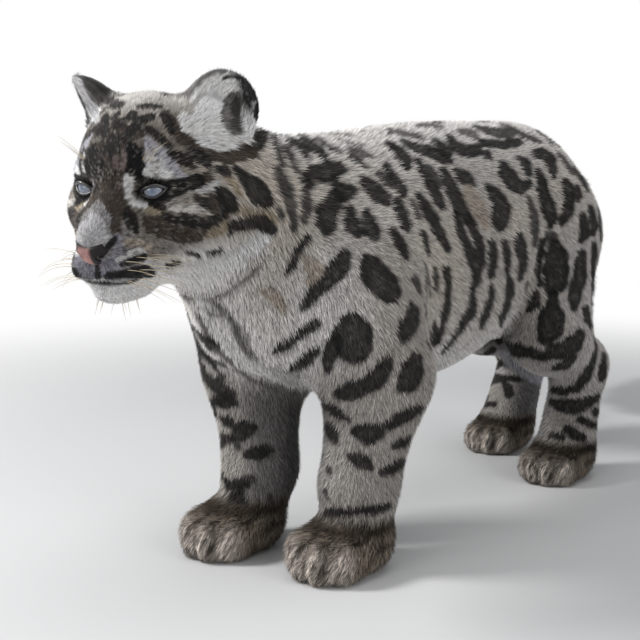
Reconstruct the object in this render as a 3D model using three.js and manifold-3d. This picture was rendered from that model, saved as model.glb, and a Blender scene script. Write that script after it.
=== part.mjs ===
// A snow leopard, life size, standing on four paws with its head turned to its left.
// Millimetres. Z is up, the floor is z = 0, the animal looks along -Y and its left is +X.
// The outer surface is that of the coat. The body is one smooth form, parted into named nodes.
import * as THREE from 'three';
import { mergeVertices } from 'three/addons/utils/BufferGeometryUtils.js';
import Module from 'manifold-3d';

const wasm = await Module();
wasm.setup();

const v = (x, y, z) => new THREE.Vector3(x, y, z);
const turned = (yaw, pitch, roll) => new THREE.Quaternion().setFromEuler(
  new THREE.Euler(
    THREE.MathUtils.degToRad(pitch),
    THREE.MathUtils.degToRad(roll),
    THREE.MathUtils.degToRad(yaw),
    'ZXY',
  ),
);

// Driving sizes
const GAP = 0.3;
const CHEST_HALF_WIDTH = 112;
const BELLY_HALF_WIDTH = 118;
const PAW_HALF_WIDTH = 56;
const TOE_RADIUS = 17;
const TAIL_RADIUS = 43;
const EYE_RADIUS = 15;

// Edge length of the triangles on each stretch of the body
const CELL = { torso: 42, neck: 32, head: 14, leg: 27, shank: 20, paw: 15.5, tail: 30 };

// The head has its own frame, with its origin between the eyes, x to its left and -y forward
const HEAD = { at: v(-3, -532, 470), turn: turned(21, 9, 2) };
const EYE = { at: v(36, 4, -5), turn: turned(18, 0, 0) };
const EARS = {
  left: { at: v(66, 94, 50), turn: turned(36, 8, 28) },
  right: { at: v(-66, 92, 50), turn: turned(-56, 42, -18) },
};

// Joints of the legs, with each paw's middle on the floor
const FRONT_LEGS = {
  left: {
    shoulder: v(74, -235, 350),
    elbow: v(86, -208, 235),
    wrist: v(84, -242, 100),
    paw: v(80, -268, 0),
  },
  right: {
    shoulder: v(-90, -268, 350),
    elbow: v(-86, -246, 235),
    wrist: v(-73, -250, 100),
    paw: v(-77, -294, 0),
  },
};
const HIND_LEGS = {
  left: {
    hip: v(62, 268, 380),
    knee: v(90, 215, 245),
    hock: v(86, 334, 175),
    paw: v(85, 270, 0),
  },
  right: {
    hip: v(-62, 300, 380),
    knee: v(-92, 320, 245),
    hock: v(-86, 470, 170),
    paw: v(-86, 380, 0),
  },
};
const HIND_PAW_SCALE = 0.9;

// The tail hangs, swings to the animal's right and lifts its tip
const TAIL = [
  { at: v(0, 360, 470), radius: 52 },
  { at: v(-6, 440, 440), radius: 48 },
  { at: v(-20, 500, 380), radius: TAIL_RADIUS },
  { at: v(-44, 556, 280), radius: TAIL_RADIUS },
  { at: v(-74, 612, 190), radius: TAIL_RADIUS },
  { at: v(-112, 690, 128), radius: TAIL_RADIUS },
  { at: v(-160, 790, 100), radius: TAIL_RADIUS },
  { at: v(-208, 890, 108), radius: TAIL_RADIUS },
  { at: v(-246, 972, 140), radius: 38 },
  { at: v(-262, 1006, 168), radius: 30 },
];

// Distance fields: negative inside, positive outside
function blend(a, b, width) {
  const overlap = Math.max(width - Math.abs(a - b), 0) / width;
  return Math.min(a, b) - (overlap * overlap * width) / 4;
}

function carve(a, b, width) {
  return -blend(-a, b, width);
}

function ellipsoid(p, x, y, z, rx, ry, rz) {
  const dx = (p.x - x) / rx;
  const dy = (p.y - y) / ry;
  const dz = (p.z - z) / rz;
  const reach = Math.hypot(dx, dy, dz);
  const slope = Math.hypot(dx / rx, dy / ry, dz / rz) + 1e-9;
  return (reach * (reach - 1)) / slope;
}

function limb(p, from, to, fromRadius, toRadius, width = 1) {
  const ax = to.x - from.x;
  const ay = to.y - from.y;
  const az = to.z - from.z;
  const along = (p.x - from.x) * ax + (p.y - from.y) * ay + (p.z - from.z) * az;
  const t = THREE.MathUtils.clamp(along / (ax * ax + ay * ay + az * az), 0, 1);
  const dx = (p.x - from.x - t * ax) / width;
  const dy = p.y - from.y - t * ay;
  const dz = p.z - from.z - t * az;
  return Math.hypot(dx, dy, dz) - THREE.MathUtils.lerp(fromRadius, toRadius, t);
}

const toLocal = (p, frame) => p.clone().sub(frame.at).applyQuaternion(frame.turn.clone().invert());
const mirrored = (p) => v(Math.abs(p.x), p.y, p.z);

// Head without its ears, in the head's frame: skull, brow, cheeks, nose bridge, muzzle and chin
const BRIDGE = [v(0, 0, 2), v(0, -57, -44)];
const JAW = [v(16, 4, -100), v(36, 62, -76)];
const BROW = [v(16, -6, 16), v(52, 16, 10)];

function headField(p) {
  const m = mirrored(toLocal(p, HEAD));
  let d = ellipsoid(m, 0, 70, 17, 74, 78, 72);
  d = blend(d, ellipsoid(m, 0, 24, 18, 50, 46, 38), 26);
  d = blend(d, ellipsoid(m, 40, 40, -32, 42, 50, 38), 28);
  d = blend(d, ellipsoid(m, 44, 66, -50, 42, 48, 38), 28);
  d = blend(d, limb(m, ...BRIDGE, 23, 21), 22);
  d = blend(d, ellipsoid(m, 24, -8, -46, 24, 34, 26), 24);
  d = blend(d, ellipsoid(m, 0, -26, -74, 38, 32, 26), 18);
  d = blend(d, ellipsoid(m, 20, -36, -78, 20, 27, 20), 10);
  d = blend(d, ellipsoid(m, 0, -20, -106, 27, 34, 17), 12);
  d = blend(d, limb(m, ...JAW, 17, 35), 22);
  d = blend(d, limb(m, ...BROW, 11, 10), 12);
  d = blend(d, ellipsoid(m, 0, -62, -55, 20, 15, 16), 8);
  d = blend(d, ellipsoid(m, 54, 86, 52, 32, 30, 32), 20);
  return carve(d, ellipsoid(m, 40, -16, -5, 17, 14, 10), 10);
}

// Chest, ribs, loin and rump, with a shoulder blade on each side
const SHOULDER_BLADE = [v(50, -130, 450), v(84, -250, 330)];

function torsoField(p) {
  let d = ellipsoid(p, 0, -185, 368, CHEST_HALF_WIDTH, 165, 160);
  d = blend(d, ellipsoid(p, 0, -20, 376, BELLY_HALF_WIDTH, 235, 176), 60);
  d = blend(d, ellipsoid(p, 0, 160, 398, 112, 215, 160), 60);
  d = blend(d, ellipsoid(p, 0, 254, 417, 104, 129, 127), 60);
  d = blend(d, ellipsoid(p, 0, -10, 300, 72, 170, 97), 40);
  return blend(d, limb(mirrored(p), ...SHOULDER_BLADE, 40, 64), 50);
}

const NAPE = [v(0, -230, 382), v(-6, -430, 460)];
const THROAT = [v(-24, -318, 314), v(0, -424, 402)];
const CREST = [v(0, -262, 468), v(4, -400, 497)];

function neckField(p) {
  const d = blend(limb(p, ...NAPE, 92, 80), limb(p, ...THROAT, 74, 44), 50);
  return blend(d, limb(p, ...CREST, 46, 50), 34);
}

// A broad pad with four toes in an arc
const TOES = [v(-36, -36, 25), v(-13, -54, 25), v(13, -54, 25), v(36, -36, 25)];

function pawField(p, at, scale) {
  const q = v((p.x - at.x) / scale, (p.y - at.y) / scale, p.z / scale);
  let d = ellipsoid(q, 0, 6, 30, PAW_HALF_WIDTH, 64, 40);
  for (const toe of TOES) {
    d = blend(d, ellipsoid(q, toe.x, toe.y, toe.z, TOE_RADIUS, 26, 28), 6);
  }
  return d * scale;
}

function frontLegField(p, leg) {
  const heel = v(leg.paw.x, leg.paw.y + 26, 44);
  let d = limb(p, leg.shoulder, leg.elbow, 74, 67);
  d = blend(d, limb(p, leg.elbow, leg.wrist, 67, 49), 30);
  d = blend(d, limb(p, leg.wrist, heel, 49, 44), 20);
  return blend(d, pawField(p, leg.paw, 1), 16);
}

function hindLegField(p, leg) {
  const heel = v(leg.paw.x, leg.paw.y + 26, 50);
  let d = limb(p, leg.hip, leg.knee, 96, 66, 0.8);
  d = blend(d, limb(p, leg.knee, leg.hock, 60, 42), 40);
  d = blend(d, limb(p, leg.hock, heel, 42, 48), 30);
  return blend(d, pawField(p, leg.paw, HIND_PAW_SCALE), 16);
}

function tailField(p) {
  let d = Infinity;
  for (let i = 1; i < TAIL.length; i += 1) {
    const [from, to] = [TAIL[i - 1], TAIL[i]];
    d = blend(d, limb(p, from.at, to.at, from.radius, to.radius), 12);
  }
  return d;
}

function bodyField(p) {
  let d = blend(torsoField(p), neckField(p), 60);
  d = blend(d, headField(p), 30);
  d = blend(d, frontLegField(p, FRONT_LEGS.left), 42);
  d = blend(d, frontLegField(p, FRONT_LEGS.right), 42);
  d = blend(d, hindLegField(p, HIND_LEGS.left), 42);
  d = blend(d, hindLegField(p, HIND_LEGS.right), 42);
  return blend(d, tailField(p), 30);
}

// Corners and edges of one cell of the sampling grid
const CORNERS = [];
for (let i = 0; i < 8; i += 1) CORNERS.push([i & 1, (i >> 1) & 1, (i >> 2) & 1]);
const EDGES = [];
for (let a = 0; a < 8; a += 1) {
  for (const bit of [1, 2, 4]) {
    if (!(a & bit)) EDGES.push([a, a | bit]);
  }
}

// How many separate groups the corners of one sign fall into, joined along the cell's edges
function groups(signs, wanted) {
  const group = signs.map((sign, i) => (sign === wanted ? i : -1));
  for (let pass = 0; pass < 3; pass += 1) {
    for (const [a, b] of EDGES) {
      if (group[a] < 0 || group[b] < 0) continue;
      const low = Math.min(group[a], group[b]);
      group[a] = low;
      group[b] = low;
    }
  }
  return new Set(group.filter((g) => g >= 0)).size;
}

// Two faces of a cell's cube per axis, each as four corners in a ring
const FACES = [0, 1, 2].flatMap((axis) => [0, 1].map((side) => {
  const [one, two] = [1 << ((axis + 1) % 3), 1 << ((axis + 2) % 3)];
  const base = side << axis;
  return [base, base | one, base | one | two, base | two];
}));

// A cell is pinched where a face has its signs crosswise, or where a sign is in two groups
function pinched(signs) {
  const crosswise = FACES.some(([a, b, c, d]) => (
    signs[a] === signs[c] && signs[b] === signs[d] && signs[a] !== signs[b]
  ));
  return crosswise || groups(signs, true) > 1 || groups(signs, false) > 1;
}

// Samples the field on a grid and pushes out the few samples that would pinch the surface
function sample(field, box, cell) {
  const size = box.getSize(v(0, 0, 0));
  const count = ['x', 'y', 'z'].map((axis) => Math.ceil(size[axis] / cell) + 3);
  const index = (i, j, k) => i + count[0] * (j + count[1] * k);
  const place = (i, j, k) => v(i - 1, j - 1, k - 1).multiplyScalar(cell).add(box.min);
  const values = new Float64Array(count[0] * count[1] * count[2]);
  for (let k = 0; k < count[2]; k += 1) {
    for (let j = 0; j < count[1]; j += 1) {
      for (let i = 0; i < count[0]; i += 1) {
        const rim = [i, j, k].some((n, axis) => n === 0 || n === count[axis] - 1);
        const d = rim ? cell : field(place(i, j, k));
        values[index(i, j, k)] = Math.abs(d) < 1e-3 ? 1e-3 : d;
      }
    }
  }
  const cells = [];
  for (let k = 0; k < count[2] - 1; k += 1) {
    for (let j = 0; j < count[1] - 1; j += 1) {
      for (let i = 0; i < count[0] - 1; i += 1) cells.push([i, j, k]);
    }
  }
  let changed = true;
  while (changed) {
    changed = false;
    for (const [i, j, k] of cells) {
      const at = CORNERS.map(([a, b, c]) => index(i + a, j + b, k + c));
      if (!pinched(at.map((n) => values[n] < 0))) continue;
      const inner = at.filter((n) => values[n] < 0).sort((a, b) => values[b] - values[a]);
      values[inner[0]] = 1e-3;
      changed = true;
    }
  }
  return { count, index, place, values, cells };
}

// A closed surface of even quads along the zero of the field, each split in two
function surface(field, box, cell) {
  const { count, index, place, values, cells } = sample(field, box, cell);
  const positions = [];
  const vertexOf = new Map();
  const step = cell / 20;
  const slope = (p, axis) => {
    const ahead = p.clone();
    const behind = p.clone();
    ahead[axis] += step;
    behind[axis] -= step;
    return (field(ahead) - field(behind)) / (2 * step);
  };
  for (const [i, j, k] of cells) {
    const value = CORNERS.map(([a, b, c]) => values[index(i + a, j + b, k + c)]);
    const crossings = EDGES.filter(([a, b]) => value[a] < 0 !== value[b] < 0);
    if (!crossings.length) continue;
    const p = v(0, 0, 0);
    for (const [a, b] of crossings) {
      const t = value[a] / (value[a] - value[b]);
      const from = v(...CORNERS[a]);
      p.add(from.lerp(v(...CORNERS[b]), t));
    }
    p.divideScalar(crossings.length);
    p.clampScalar(0.05, 0.95).multiplyScalar(cell).add(place(i, j, k));
    const low = place(i, j, k).addScalar(cell * 0.02);
    const high = place(i, j, k).addScalar(cell * 0.98);
    for (let pass = 0; pass < 3; pass += 1) {
      const gradient = v(slope(p, 'x'), slope(p, 'y'), slope(p, 'z'));
      const back = field(p) / Math.max(gradient.lengthSq(), 0.2);
      p.addScaledVector(gradient, -back).clamp(low, high);
    }
    vertexOf.set(index(i, j, k), positions.length / 3);
    positions.push(p.x, p.y, p.z);
  }
  const triangles = [];
  const corner = (n) => v(positions[3 * n], positions[3 * n + 1], positions[3 * n + 2]);
  const quad = (a, b, c, d) => {
    const short = corner(a).distanceTo(corner(c)) < corner(b).distanceTo(corner(d));
    triangles.push(...(short ? [a, b, c, a, c, d] : [b, c, d, b, d, a]));
  };
  for (let k = 0; k < count[2] - 1; k += 1) {
    for (let j = 0; j < count[1] - 1; j += 1) {
      for (let i = 0; i < count[0] - 1; i += 1) {
        for (let axis = 0; axis < 3; axis += 1) {
          const step1 = [0, 0, 0];
          const step2 = [0, 0, 0];
          const next = [i, j, k];
          next[axis] += 1;
          step1[(axis + 1) % 3] = 1;
          step2[(axis + 2) % 3] = 1;
          const here = values[index(i, j, k)] < 0;
          const there = values[index(...next)] < 0;
          if (here === there) continue;
          const cellAt = (m, n) => vertexOf.get(index(
            i - m * step1[0] - n * step2[0],
            j - m * step1[1] - n * step2[1],
            k - m * step1[2] - n * step2[2],
          ));
          const ring = [cellAt(1, 1), cellAt(0, 1), cellAt(0, 0), cellAt(1, 0)];
          quad(...(here ? ring : ring.reverse()));
        }
      }
    }
  }
  return new wasm.Manifold(new wasm.Mesh({
    numProp: 3,
    vertProperties: new Float32Array(positions),
    triVerts: new Uint32Array(triangles),
  }));
}

// Solids from three.js geometry, and back
function solid(geometry, matrix = new THREE.Matrix4()) {
  const bare = geometry.clone();
  bare.deleteAttribute('normal');
  bare.deleteAttribute('uv');
  const merged = mergeVertices(bare, 1e-4).applyMatrix4(matrix);
  return new wasm.Manifold(new wasm.Mesh({
    numProp: 3,
    vertProperties: new Float32Array(merged.attributes.position.array),
    triVerts: new Uint32Array(merged.index.array),
  }));
}

function largest(shape) {
  return shape.decompose().sort((a, b) => b.volume() - a.volume())[0];
}

function mesh(name, shape, material) {
  const { vertProperties, triVerts } = largest(shape).getMesh();
  const geometry = new THREE.BufferGeometry();
  geometry.setAttribute('position', new THREE.BufferAttribute(vertProperties, 3));
  geometry.setIndex(new THREE.BufferAttribute(triVerts, 1));
  geometry.computeVertexNormals();
  const piece = new THREE.Mesh(geometry, material);
  piece.name = name;
  return piece;
}

// A block that fills the side of a plane that its normal points to
const REACH = 1600;
function beyond(point, normal, shift = 0) {
  const n = normal.clone().normalize();
  const turn = new THREE.Quaternion().setFromUnitVectors(v(0, 0, 1), n);
  const centre = point.clone().addScaledVector(n, REACH / 2 + shift);
  const matrix = new THREE.Matrix4().compose(centre, turn, v(1, 1, 1));
  return solid(new THREE.BoxGeometry(REACH, REACH, REACH), matrix);
}

// Where the body is parted: each normal points away from the waist
const HEAD_CUT = { at: v(-10, -408, 450), normal: v(0.16, -0.94, 0.3) };
const NECK_CUT = { at: v(0, -262, 440), normal: v(0, -0.75, 0.66) };
const WAIST = { at: v(0, 60, 400), normal: v(0, 1, 0) };
const TAIL_CUTS = [
  { at: v(0, 428, 380), normal: v(0, 1, 0.58) },
  { at: v(-40, 548, 295), normal: v(-0.2, 0.45, -0.87) },
  { at: v(-112, 690, 128), normal: v(-0.38, 0.8, -0.46) },
  { at: v(-184, 840, 102), normal: v(-0.43, 0.9, 0.05) },
];
const WRIST_HEIGHT = 150;
const ANKLE_HEIGHT = 72;
const FRONT_SPLIT = { inner: v(30, 0, 205), normal: v(0.86, 0, -0.51), front: -420, rear: -105 };
const HIND_SPLIT = { inner: v(30, 0, 222), normal: v(0.87, 0, -0.49), front: 95, rear: 620 };

const past = (cut) => beyond(cut.at, cut.normal);
const before = (cut) => beyond(cut.at, cut.normal.clone().negate(), GAP);
const FLOOR = past({ at: v(0, 0, 0), normal: v(0, 0, 1) });

// The part of the body inside a box that lies in every one of some regions
function stretch(min, max, cell, regions) {
  let shape = surface(bodyField, new THREE.Box3(min, max), cell);
  for (const region of regions) shape = shape.intersect(region);
  return largest(shape);
}

// The wedge of space that a leg's upper part takes from the torso, grown by a gap
function legWedge(split, side, grow) {
  const inner = v(split.inner.x * side, 0, split.inner.z);
  const normal = v(split.normal.x * side, 0, split.normal.z);
  return beyond(inner, normal, -grow)
    .intersect(beyond(v(0, split.front, 0), v(0, 1, -0.12), -grow))
    .intersect(beyond(v(0, split.rear, 300), v(0, -1, -0.25), -grow));
}

// Materials
const fur = (color) => new THREE.MeshStandardMaterial({ color, roughness: 0.9, metalness: 0 });
const smooth = (color, roughness) => new THREE.MeshStandardMaterial({ color, roughness, metalness: 0 });
const COAT = fur(0x9c968e);
const FACE_COAT = fur(0x8f877c);
const PAW_COAT = fur(0x7d7264);
const EAR_COAT = fur(0xaaa7a2);
const NOSE_LEATHER = smooth(0xb98278, 0.55);
const EYE_SURFACE = smooth(0xaab4c0, 0.12);
const HORN = smooth(0x6d675e, 0.45);

const leopard = new THREE.Group();
const pieces = new THREE.Group();
leopard.add(pieces);

// Torso in two lengths, the front one with the chest and the rear one with the rump
function addTorso() {
  const torso = surface(bodyField, new THREE.Box3(v(-190, -400, 180), v(190, 470, 590)), CELL.torso)
    .intersect(before(NECK_CUT))
    .intersect(before(TAIL_CUTS[0]))
    .subtract(legWedge(FRONT_SPLIT, 1, GAP))
    .subtract(legWedge(FRONT_SPLIT, -1, GAP))
    .subtract(legWedge(HIND_SPLIT, 1, GAP))
    .subtract(legWedge(HIND_SPLIT, -1, GAP));
  pieces.add(mesh('torso_front', torso.intersect(before(WAIST)), COAT));
  pieces.add(mesh('torso_rear', torso.intersect(past(WAIST)), COAT));
}

function addNeck() {
  const box = [v(-180, -500, 220), v(180, -130, 620)];
  pieces.add(mesh('neck', stretch(...box, CELL.neck, [past(NECK_CUT), before(HEAD_CUT)]), COAT));
}

// A claw is a small cone at the tip of each toe, set in a socket of the paw
const CLAW = { length: 15, radius: 3.8, height: 13, ahead: 18, droop: 0.62 };

function claw(paw, toe, scale, grow) {
  const shape = new THREE.ConeGeometry(CLAW.radius + grow, CLAW.length + 2 * grow, 6, 1);
  const at = v(toe.x, toe.y - CLAW.ahead, CLAW.height).multiplyScalar(scale).add(paw);
  const turn = new THREE.Quaternion().setFromEuler(
    new THREE.Euler(Math.PI / 2 + CLAW.droop, 0, toe.x / 110, 'ZXY'),
  );
  return solid(shape, new THREE.Matrix4().compose(at, turn, v(1, 1, 1)));
}

// A leg in three nodes, with the claws of its paw
function addLeg(name, split, side, leg, scale) {
  const region = [legWedge(split, side, 0), before(NECK_CUT), before(TAIL_CUTS[0])];
  const wrist = { at: v(0, 0, WRIST_HEIGHT), normal: v(0, 0, -1) };
  const ankle = { at: v(0, 0, ANKLE_HEIGHT * scale), normal: v(0, 0, -1) };
  const joints = new THREE.Box3().setFromPoints(Object.values(leg));
  const [low, high] = [joints.min.addScalar(-100), joints.max.addScalar(100)];
  const box = (from, to) => [v(low.x, low.y - 50, from), v(high.x, high.y + 50, to)];
  const upper = stretch(...box(110, 510), CELL.leg, [...region, before(wrist)]);
  const lower = stretch(...box(30, 190), CELL.shank, [...region, past(wrist), before(ankle)]);
  let paw = stretch(...box(-30, 110), CELL.paw, [past(ankle), FLOOR]);
  TOES.forEach((toe, i) => {
    paw = paw.subtract(claw(leg.paw, toe, scale, 2 * GAP));
    pieces.add(mesh(`claw_${name}_${i + 1}`, claw(leg.paw, toe, scale, 0), HORN));
  });
  pieces.add(mesh(`upper_leg_${name}`, upper, COAT));
  pieces.add(mesh(`lower_leg_${name}`, lower, COAT));
  pieces.add(mesh(`paw_${name}`, paw, PAW_COAT));
}

// Tail in four lengths
function addTail() {
  const ends = [
    [v(-90, 330, 180), v(80, 640, 560)],
    [v(-210, 480, 40), v(40, 780, 380)],
    [v(-270, 620, 20), v(-20, 910, 220)],
    [v(-340, 780, 20), v(-90, 1080, 250)],
  ];
  ends.forEach((box, i) => {
    const regions = [past(TAIL_CUTS[i])];
    if (i < 3) regions.push(before(TAIL_CUTS[i + 1]));
    pieces.add(mesh(`tail_${i + 1}`, stretch(...box, CELL.tail, regions), COAT));
  });
}

// Details of the head, in the head's frame
const headMatrix = new THREE.Matrix4().compose(HEAD.at, HEAD.turn, v(1, 1, 1));
const inHead = (at, turn = new THREE.Quaternion(), scale = v(1, 1, 1)) => (
  headMatrix.clone().multiply(new THREE.Matrix4().compose(at, turn, scale))
);

function ball(at, radii, turn, around = 14, down = 9) {
  return solid(new THREE.SphereGeometry(1, around, down), inHead(at, turn, radii));
}

// An ear is a rounded shell, open forward, thick at its root and thin at its rim
const EAR_OUTER = { at: v(0, 4, 14), radii: v(45, 29, 51) };
const EAR_INNER = { at: v(0, -17, 26), radii: v(38, 31, 44) };
const EAR_OPENING = { at: v(0, 10, 62), normal: v(0, 0.93, -0.37) };
const EAR_ROOT = -22;

function ear({ at, turn }, grow) {
  const place = (point) => point.clone().applyQuaternion(turn).add(at);
  const outer = ball(place(EAR_OUTER.at), EAR_OUTER.radii.clone().addScalar(grow), turn);
  const inner = ball(place(EAR_INNER.at), EAR_INNER.radii.clone().addScalar(-grow), turn, 16, 10);
  const facing = (normal) => normal.clone().applyQuaternion(turn).applyQuaternion(HEAD.turn);
  const world = (point) => place(point).applyMatrix4(headMatrix);
  return largest(outer
    .subtract(inner)
    .intersect(beyond(world(EAR_OPENING.at), facing(EAR_OPENING.normal), -grow))
    .intersect(beyond(world(v(0, 0, EAR_ROOT)), facing(v(0, 0, 1)), -grow)));
}

// Lids are a thin shell round the eye, open in an almond
const LID = { thickness: 2.8, halfWidth: 13, halfHeight: 7 };

function eyePlace(side) {
  const turn = side > 0 ? EYE.turn : EYE.turn.clone().invert();
  return { at: v(EYE.at.x * side, EYE.at.y, EYE.at.z), turn };
}

function lids(side) {
  const { at, turn } = eyePlace(side);
  const radius = EYE_RADIUS + LID.thickness;
  const shell = ball(at, v(radius, radius, radius), turn, 16, 10);
  const almond = new THREE.Shape();
  almond.moveTo(-LID.halfWidth, -1);
  almond.quadraticCurveTo(0, LID.halfHeight * 2.1, LID.halfWidth, 1.5);
  almond.quadraticCurveTo(0, -LID.halfHeight * 2, -LID.halfWidth, -1);
  const depth = 2 * radius;
  const opening = new THREE.ExtrudeGeometry(almond, { depth, bevelEnabled: false, curveSegments: 6 });
  opening.rotateX(Math.PI / 2);
  return { shell, opening: solid(opening, inHead(at, turn)) };
}

// The line of the mouth is found by going out from the middle of the jaw to the surface
const MOUTH = { middle: v(0, 16, -98), corner: THREE.MathUtils.degToRad(60), rise: 14, width: 2.4 };
const LIP = { radius: 3.4, offset: 4.2, sunk: 2 };
const MOUTH_STEPS = 8;

function onMuzzle(angle, height, sunk) {
  const out = v(Math.sin(angle), -Math.cos(angle), 0);
  const z = MOUTH.middle.z + height + MOUTH.rise * Math.sin(angle) ** 2;
  let far = 10;
  while (headField(headPoint(v(0, MOUTH.middle.y, z).addScaledVector(out, far))) < 0) far += 0.5;
  return headPoint(v(0, MOUTH.middle.y, z).addScaledVector(out, far - sunk));
}

function headPoint(local) {
  return local.clone().applyMatrix4(headMatrix);
}

function mouthTube(height, radius, sunk, reach) {
  const points = [];
  for (let i = 0; i <= MOUTH_STEPS; i += 1) {
    points.push(onMuzzle(reach * MOUTH.corner * ((2 * i) / MOUTH_STEPS - 1), height, sunk));
  }
  const section = new THREE.Shape(new THREE.EllipseCurve(0, 0, radius, radius).getPoints(6).slice(0, 6));
  return solid(new THREE.ExtrudeGeometry(section, {
    steps: MOUTH_STEPS,
    extrudePath: new THREE.CatmullRomCurve3(points),
  }));
}

// The nose pad is a shield of bare skin at the front of the muzzle, with two nostrils
const NOSE = { top: -49, middle: -57, bottom: -73, halfWidth: 18, back: -59, front: -96 };
const NOSTRIL = { at: v(11, -73, -61), radii: v(4, 8, 3), turn: turned(30, 0, 0) };

function noseBlock(grow) {
  const outline = new THREE.Shape([
    [-NOSE.halfWidth + 3 - grow, NOSE.top + grow],
    [NOSE.halfWidth - 3 + grow, NOSE.top + grow],
    [NOSE.halfWidth + grow, NOSE.middle],
    [3 + grow, NOSE.bottom - grow],
    [-3 - grow, NOSE.bottom - grow],
    [-NOSE.halfWidth - grow, NOSE.middle],
  ].map(([x, z]) => new THREE.Vector2(x, z)));
  const depth = NOSE.back - NOSE.front + grow;
  const block = new THREE.ExtrudeGeometry(outline, { depth, bevelEnabled: false });
  block.rotateX(Math.PI / 2).translate(0, NOSE.back + grow, 0);
  return solid(block, headMatrix);
}

function addHead() {
  const box = [v(-170, -690, 320), v(170, -370, 620)];
  let head = stretch(...box, CELL.head, [past(HEAD_CUT)]);
  for (const side of [1, -1]) {
    const { shell, opening } = lids(side);
    head = head.add(shell).subtract(opening);
  }
  head = head
    .add(mouthTube(LIP.offset, LIP.radius, LIP.sunk, 1))
    .add(mouthTube(-LIP.offset, LIP.radius, LIP.sunk, 0.9))
    .subtract(mouthTube(0, MOUTH.width, 0, 1.05));
  let nose = largest(head.intersect(noseBlock(0)));
  head = head.subtract(noseBlock(GAP));
  for (const side of [1, -1]) {
    const turn = side > 0 ? NOSTRIL.turn : NOSTRIL.turn.clone().invert();
    const at = v(NOSTRIL.at.x * side, NOSTRIL.at.y, NOSTRIL.at.z);
    nose = nose.subtract(ball(at, NOSTRIL.radii, turn, 8, 6));
  }
  pieces.add(mesh('nose', nose, NOSE_LEATHER));
  for (const [name, side] of [['left', 1], ['right', -1]]) {
    const { at, turn } = eyePlace(side);
    const socket = EYE_RADIUS + 2 * GAP;
    head = head.subtract(ball(at, v(socket, socket, socket), turn, 16, 10));
    const eyeball = ball(at, v(EYE_RADIUS, EYE_RADIUS, EYE_RADIUS), turn, 16, 10);
    pieces.add(mesh(`eye_${name}`, eyeball, EYE_SURFACE));
    head = head.subtract(ear(EARS[name], GAP));
    pieces.add(mesh(`ear_${name}`, ear(EARS[name], 0), EAR_COAT));
  }
  pieces.add(mesh('head', head, FACE_COAT));
}

addHead();
addNeck();
addTorso();
addLeg('front_left', FRONT_SPLIT, 1, FRONT_LEGS.left, 1);
addLeg('front_right', FRONT_SPLIT, -1, FRONT_LEGS.right, 1);
addLeg('hind_left', HIND_SPLIT, 1, HIND_LEGS.left, HIND_PAW_SCALE);
addLeg('hind_right', HIND_SPLIT, -1, HIND_LEGS.right, HIND_PAW_SCALE);
addTail();

// The origin is on the floor under the middle of the whole animal
const middle = new THREE.Box3().setFromObject(pieces).getCenter(v(0, 0, 0));
pieces.position.set(-middle.x, -middle.y, 0);

export default leopard;
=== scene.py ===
import math
import bpy
import numpy as np
from mathutils import Matrix, Vector


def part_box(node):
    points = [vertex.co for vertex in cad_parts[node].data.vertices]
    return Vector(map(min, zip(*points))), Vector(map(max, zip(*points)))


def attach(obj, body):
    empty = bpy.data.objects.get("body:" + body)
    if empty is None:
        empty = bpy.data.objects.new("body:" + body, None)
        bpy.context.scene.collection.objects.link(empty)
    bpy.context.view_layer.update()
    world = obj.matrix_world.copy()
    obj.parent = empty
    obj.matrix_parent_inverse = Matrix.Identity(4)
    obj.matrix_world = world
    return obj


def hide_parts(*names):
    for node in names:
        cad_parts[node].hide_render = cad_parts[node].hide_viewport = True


# A snow leopard over its solids: skin, coat in tufts, markings, eyes, nose, lids and whiskers.
# Shapes are worked out in millimetres of the solids' own layout and turned into metres at the end.
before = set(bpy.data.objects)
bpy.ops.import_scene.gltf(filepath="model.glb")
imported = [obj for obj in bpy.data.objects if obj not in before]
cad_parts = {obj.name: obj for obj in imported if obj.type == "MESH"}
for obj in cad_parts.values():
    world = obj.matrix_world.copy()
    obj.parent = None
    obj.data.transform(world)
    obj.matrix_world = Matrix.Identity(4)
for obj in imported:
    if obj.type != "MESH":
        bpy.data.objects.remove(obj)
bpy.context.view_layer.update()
RNG = np.random.default_rng(41)


def vec(*numbers):
    return np.array(numbers, float)


def turned(yaw, pitch, roll):
    cy, cp, cr = (math.cos(math.radians(angle)) for angle in (yaw, pitch, roll))
    sy, sp, sr = (math.sin(math.radians(angle)) for angle in (yaw, pitch, roll))
    about_z = np.array([[cy, -sy, 0], [sy, cy, 0], [0, 0, 1]])
    about_x = np.array([[1, 0, 0], [0, cp, -sp], [0, sp, cp]])
    about_y = np.array([[cr, 0, sr], [0, 1, 0], [-sr, 0, cr]])
    return about_z @ about_x @ about_y


# Landmarks, the same named sizes as the solids have
HEAD_AT, HEAD_TURN = vec(-3, -532, 470), turned(21, 9, 2)
EYE_AT, EYE_TURN, EYE_RADIUS = vec(36, 4, -5), turned(18, 0, 0), 15
EARS = {
    "left": (vec(66, 94, 50), turned(36, 8, 28)),
    "right": (vec(-66, 92, 50), turned(-56, 42, -18)),
}
FRONT_LEGS = {
    "left": (vec(74, -235, 350), vec(86, -208, 235), vec(84, -242, 100), vec(80, -268, 0)),
    "right": (vec(-90, -268, 350), vec(-86, -246, 235), vec(-73, -250, 100), vec(-77, -294, 0)),
}
HIND_LEGS = {
    "left": (vec(62, 268, 380), vec(90, 215, 245), vec(86, 334, 175), vec(85, 270, 0)),
    "right": (vec(-62, 300, 380), vec(-92, 320, 245), vec(-86, 470, 170), vec(-86, 380, 0)),
}
HIND_PAW_SCALE = 0.9
SIDES, FLIP = {"left": 1, "right": -1}, vec(-1, 1, 1)
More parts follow.
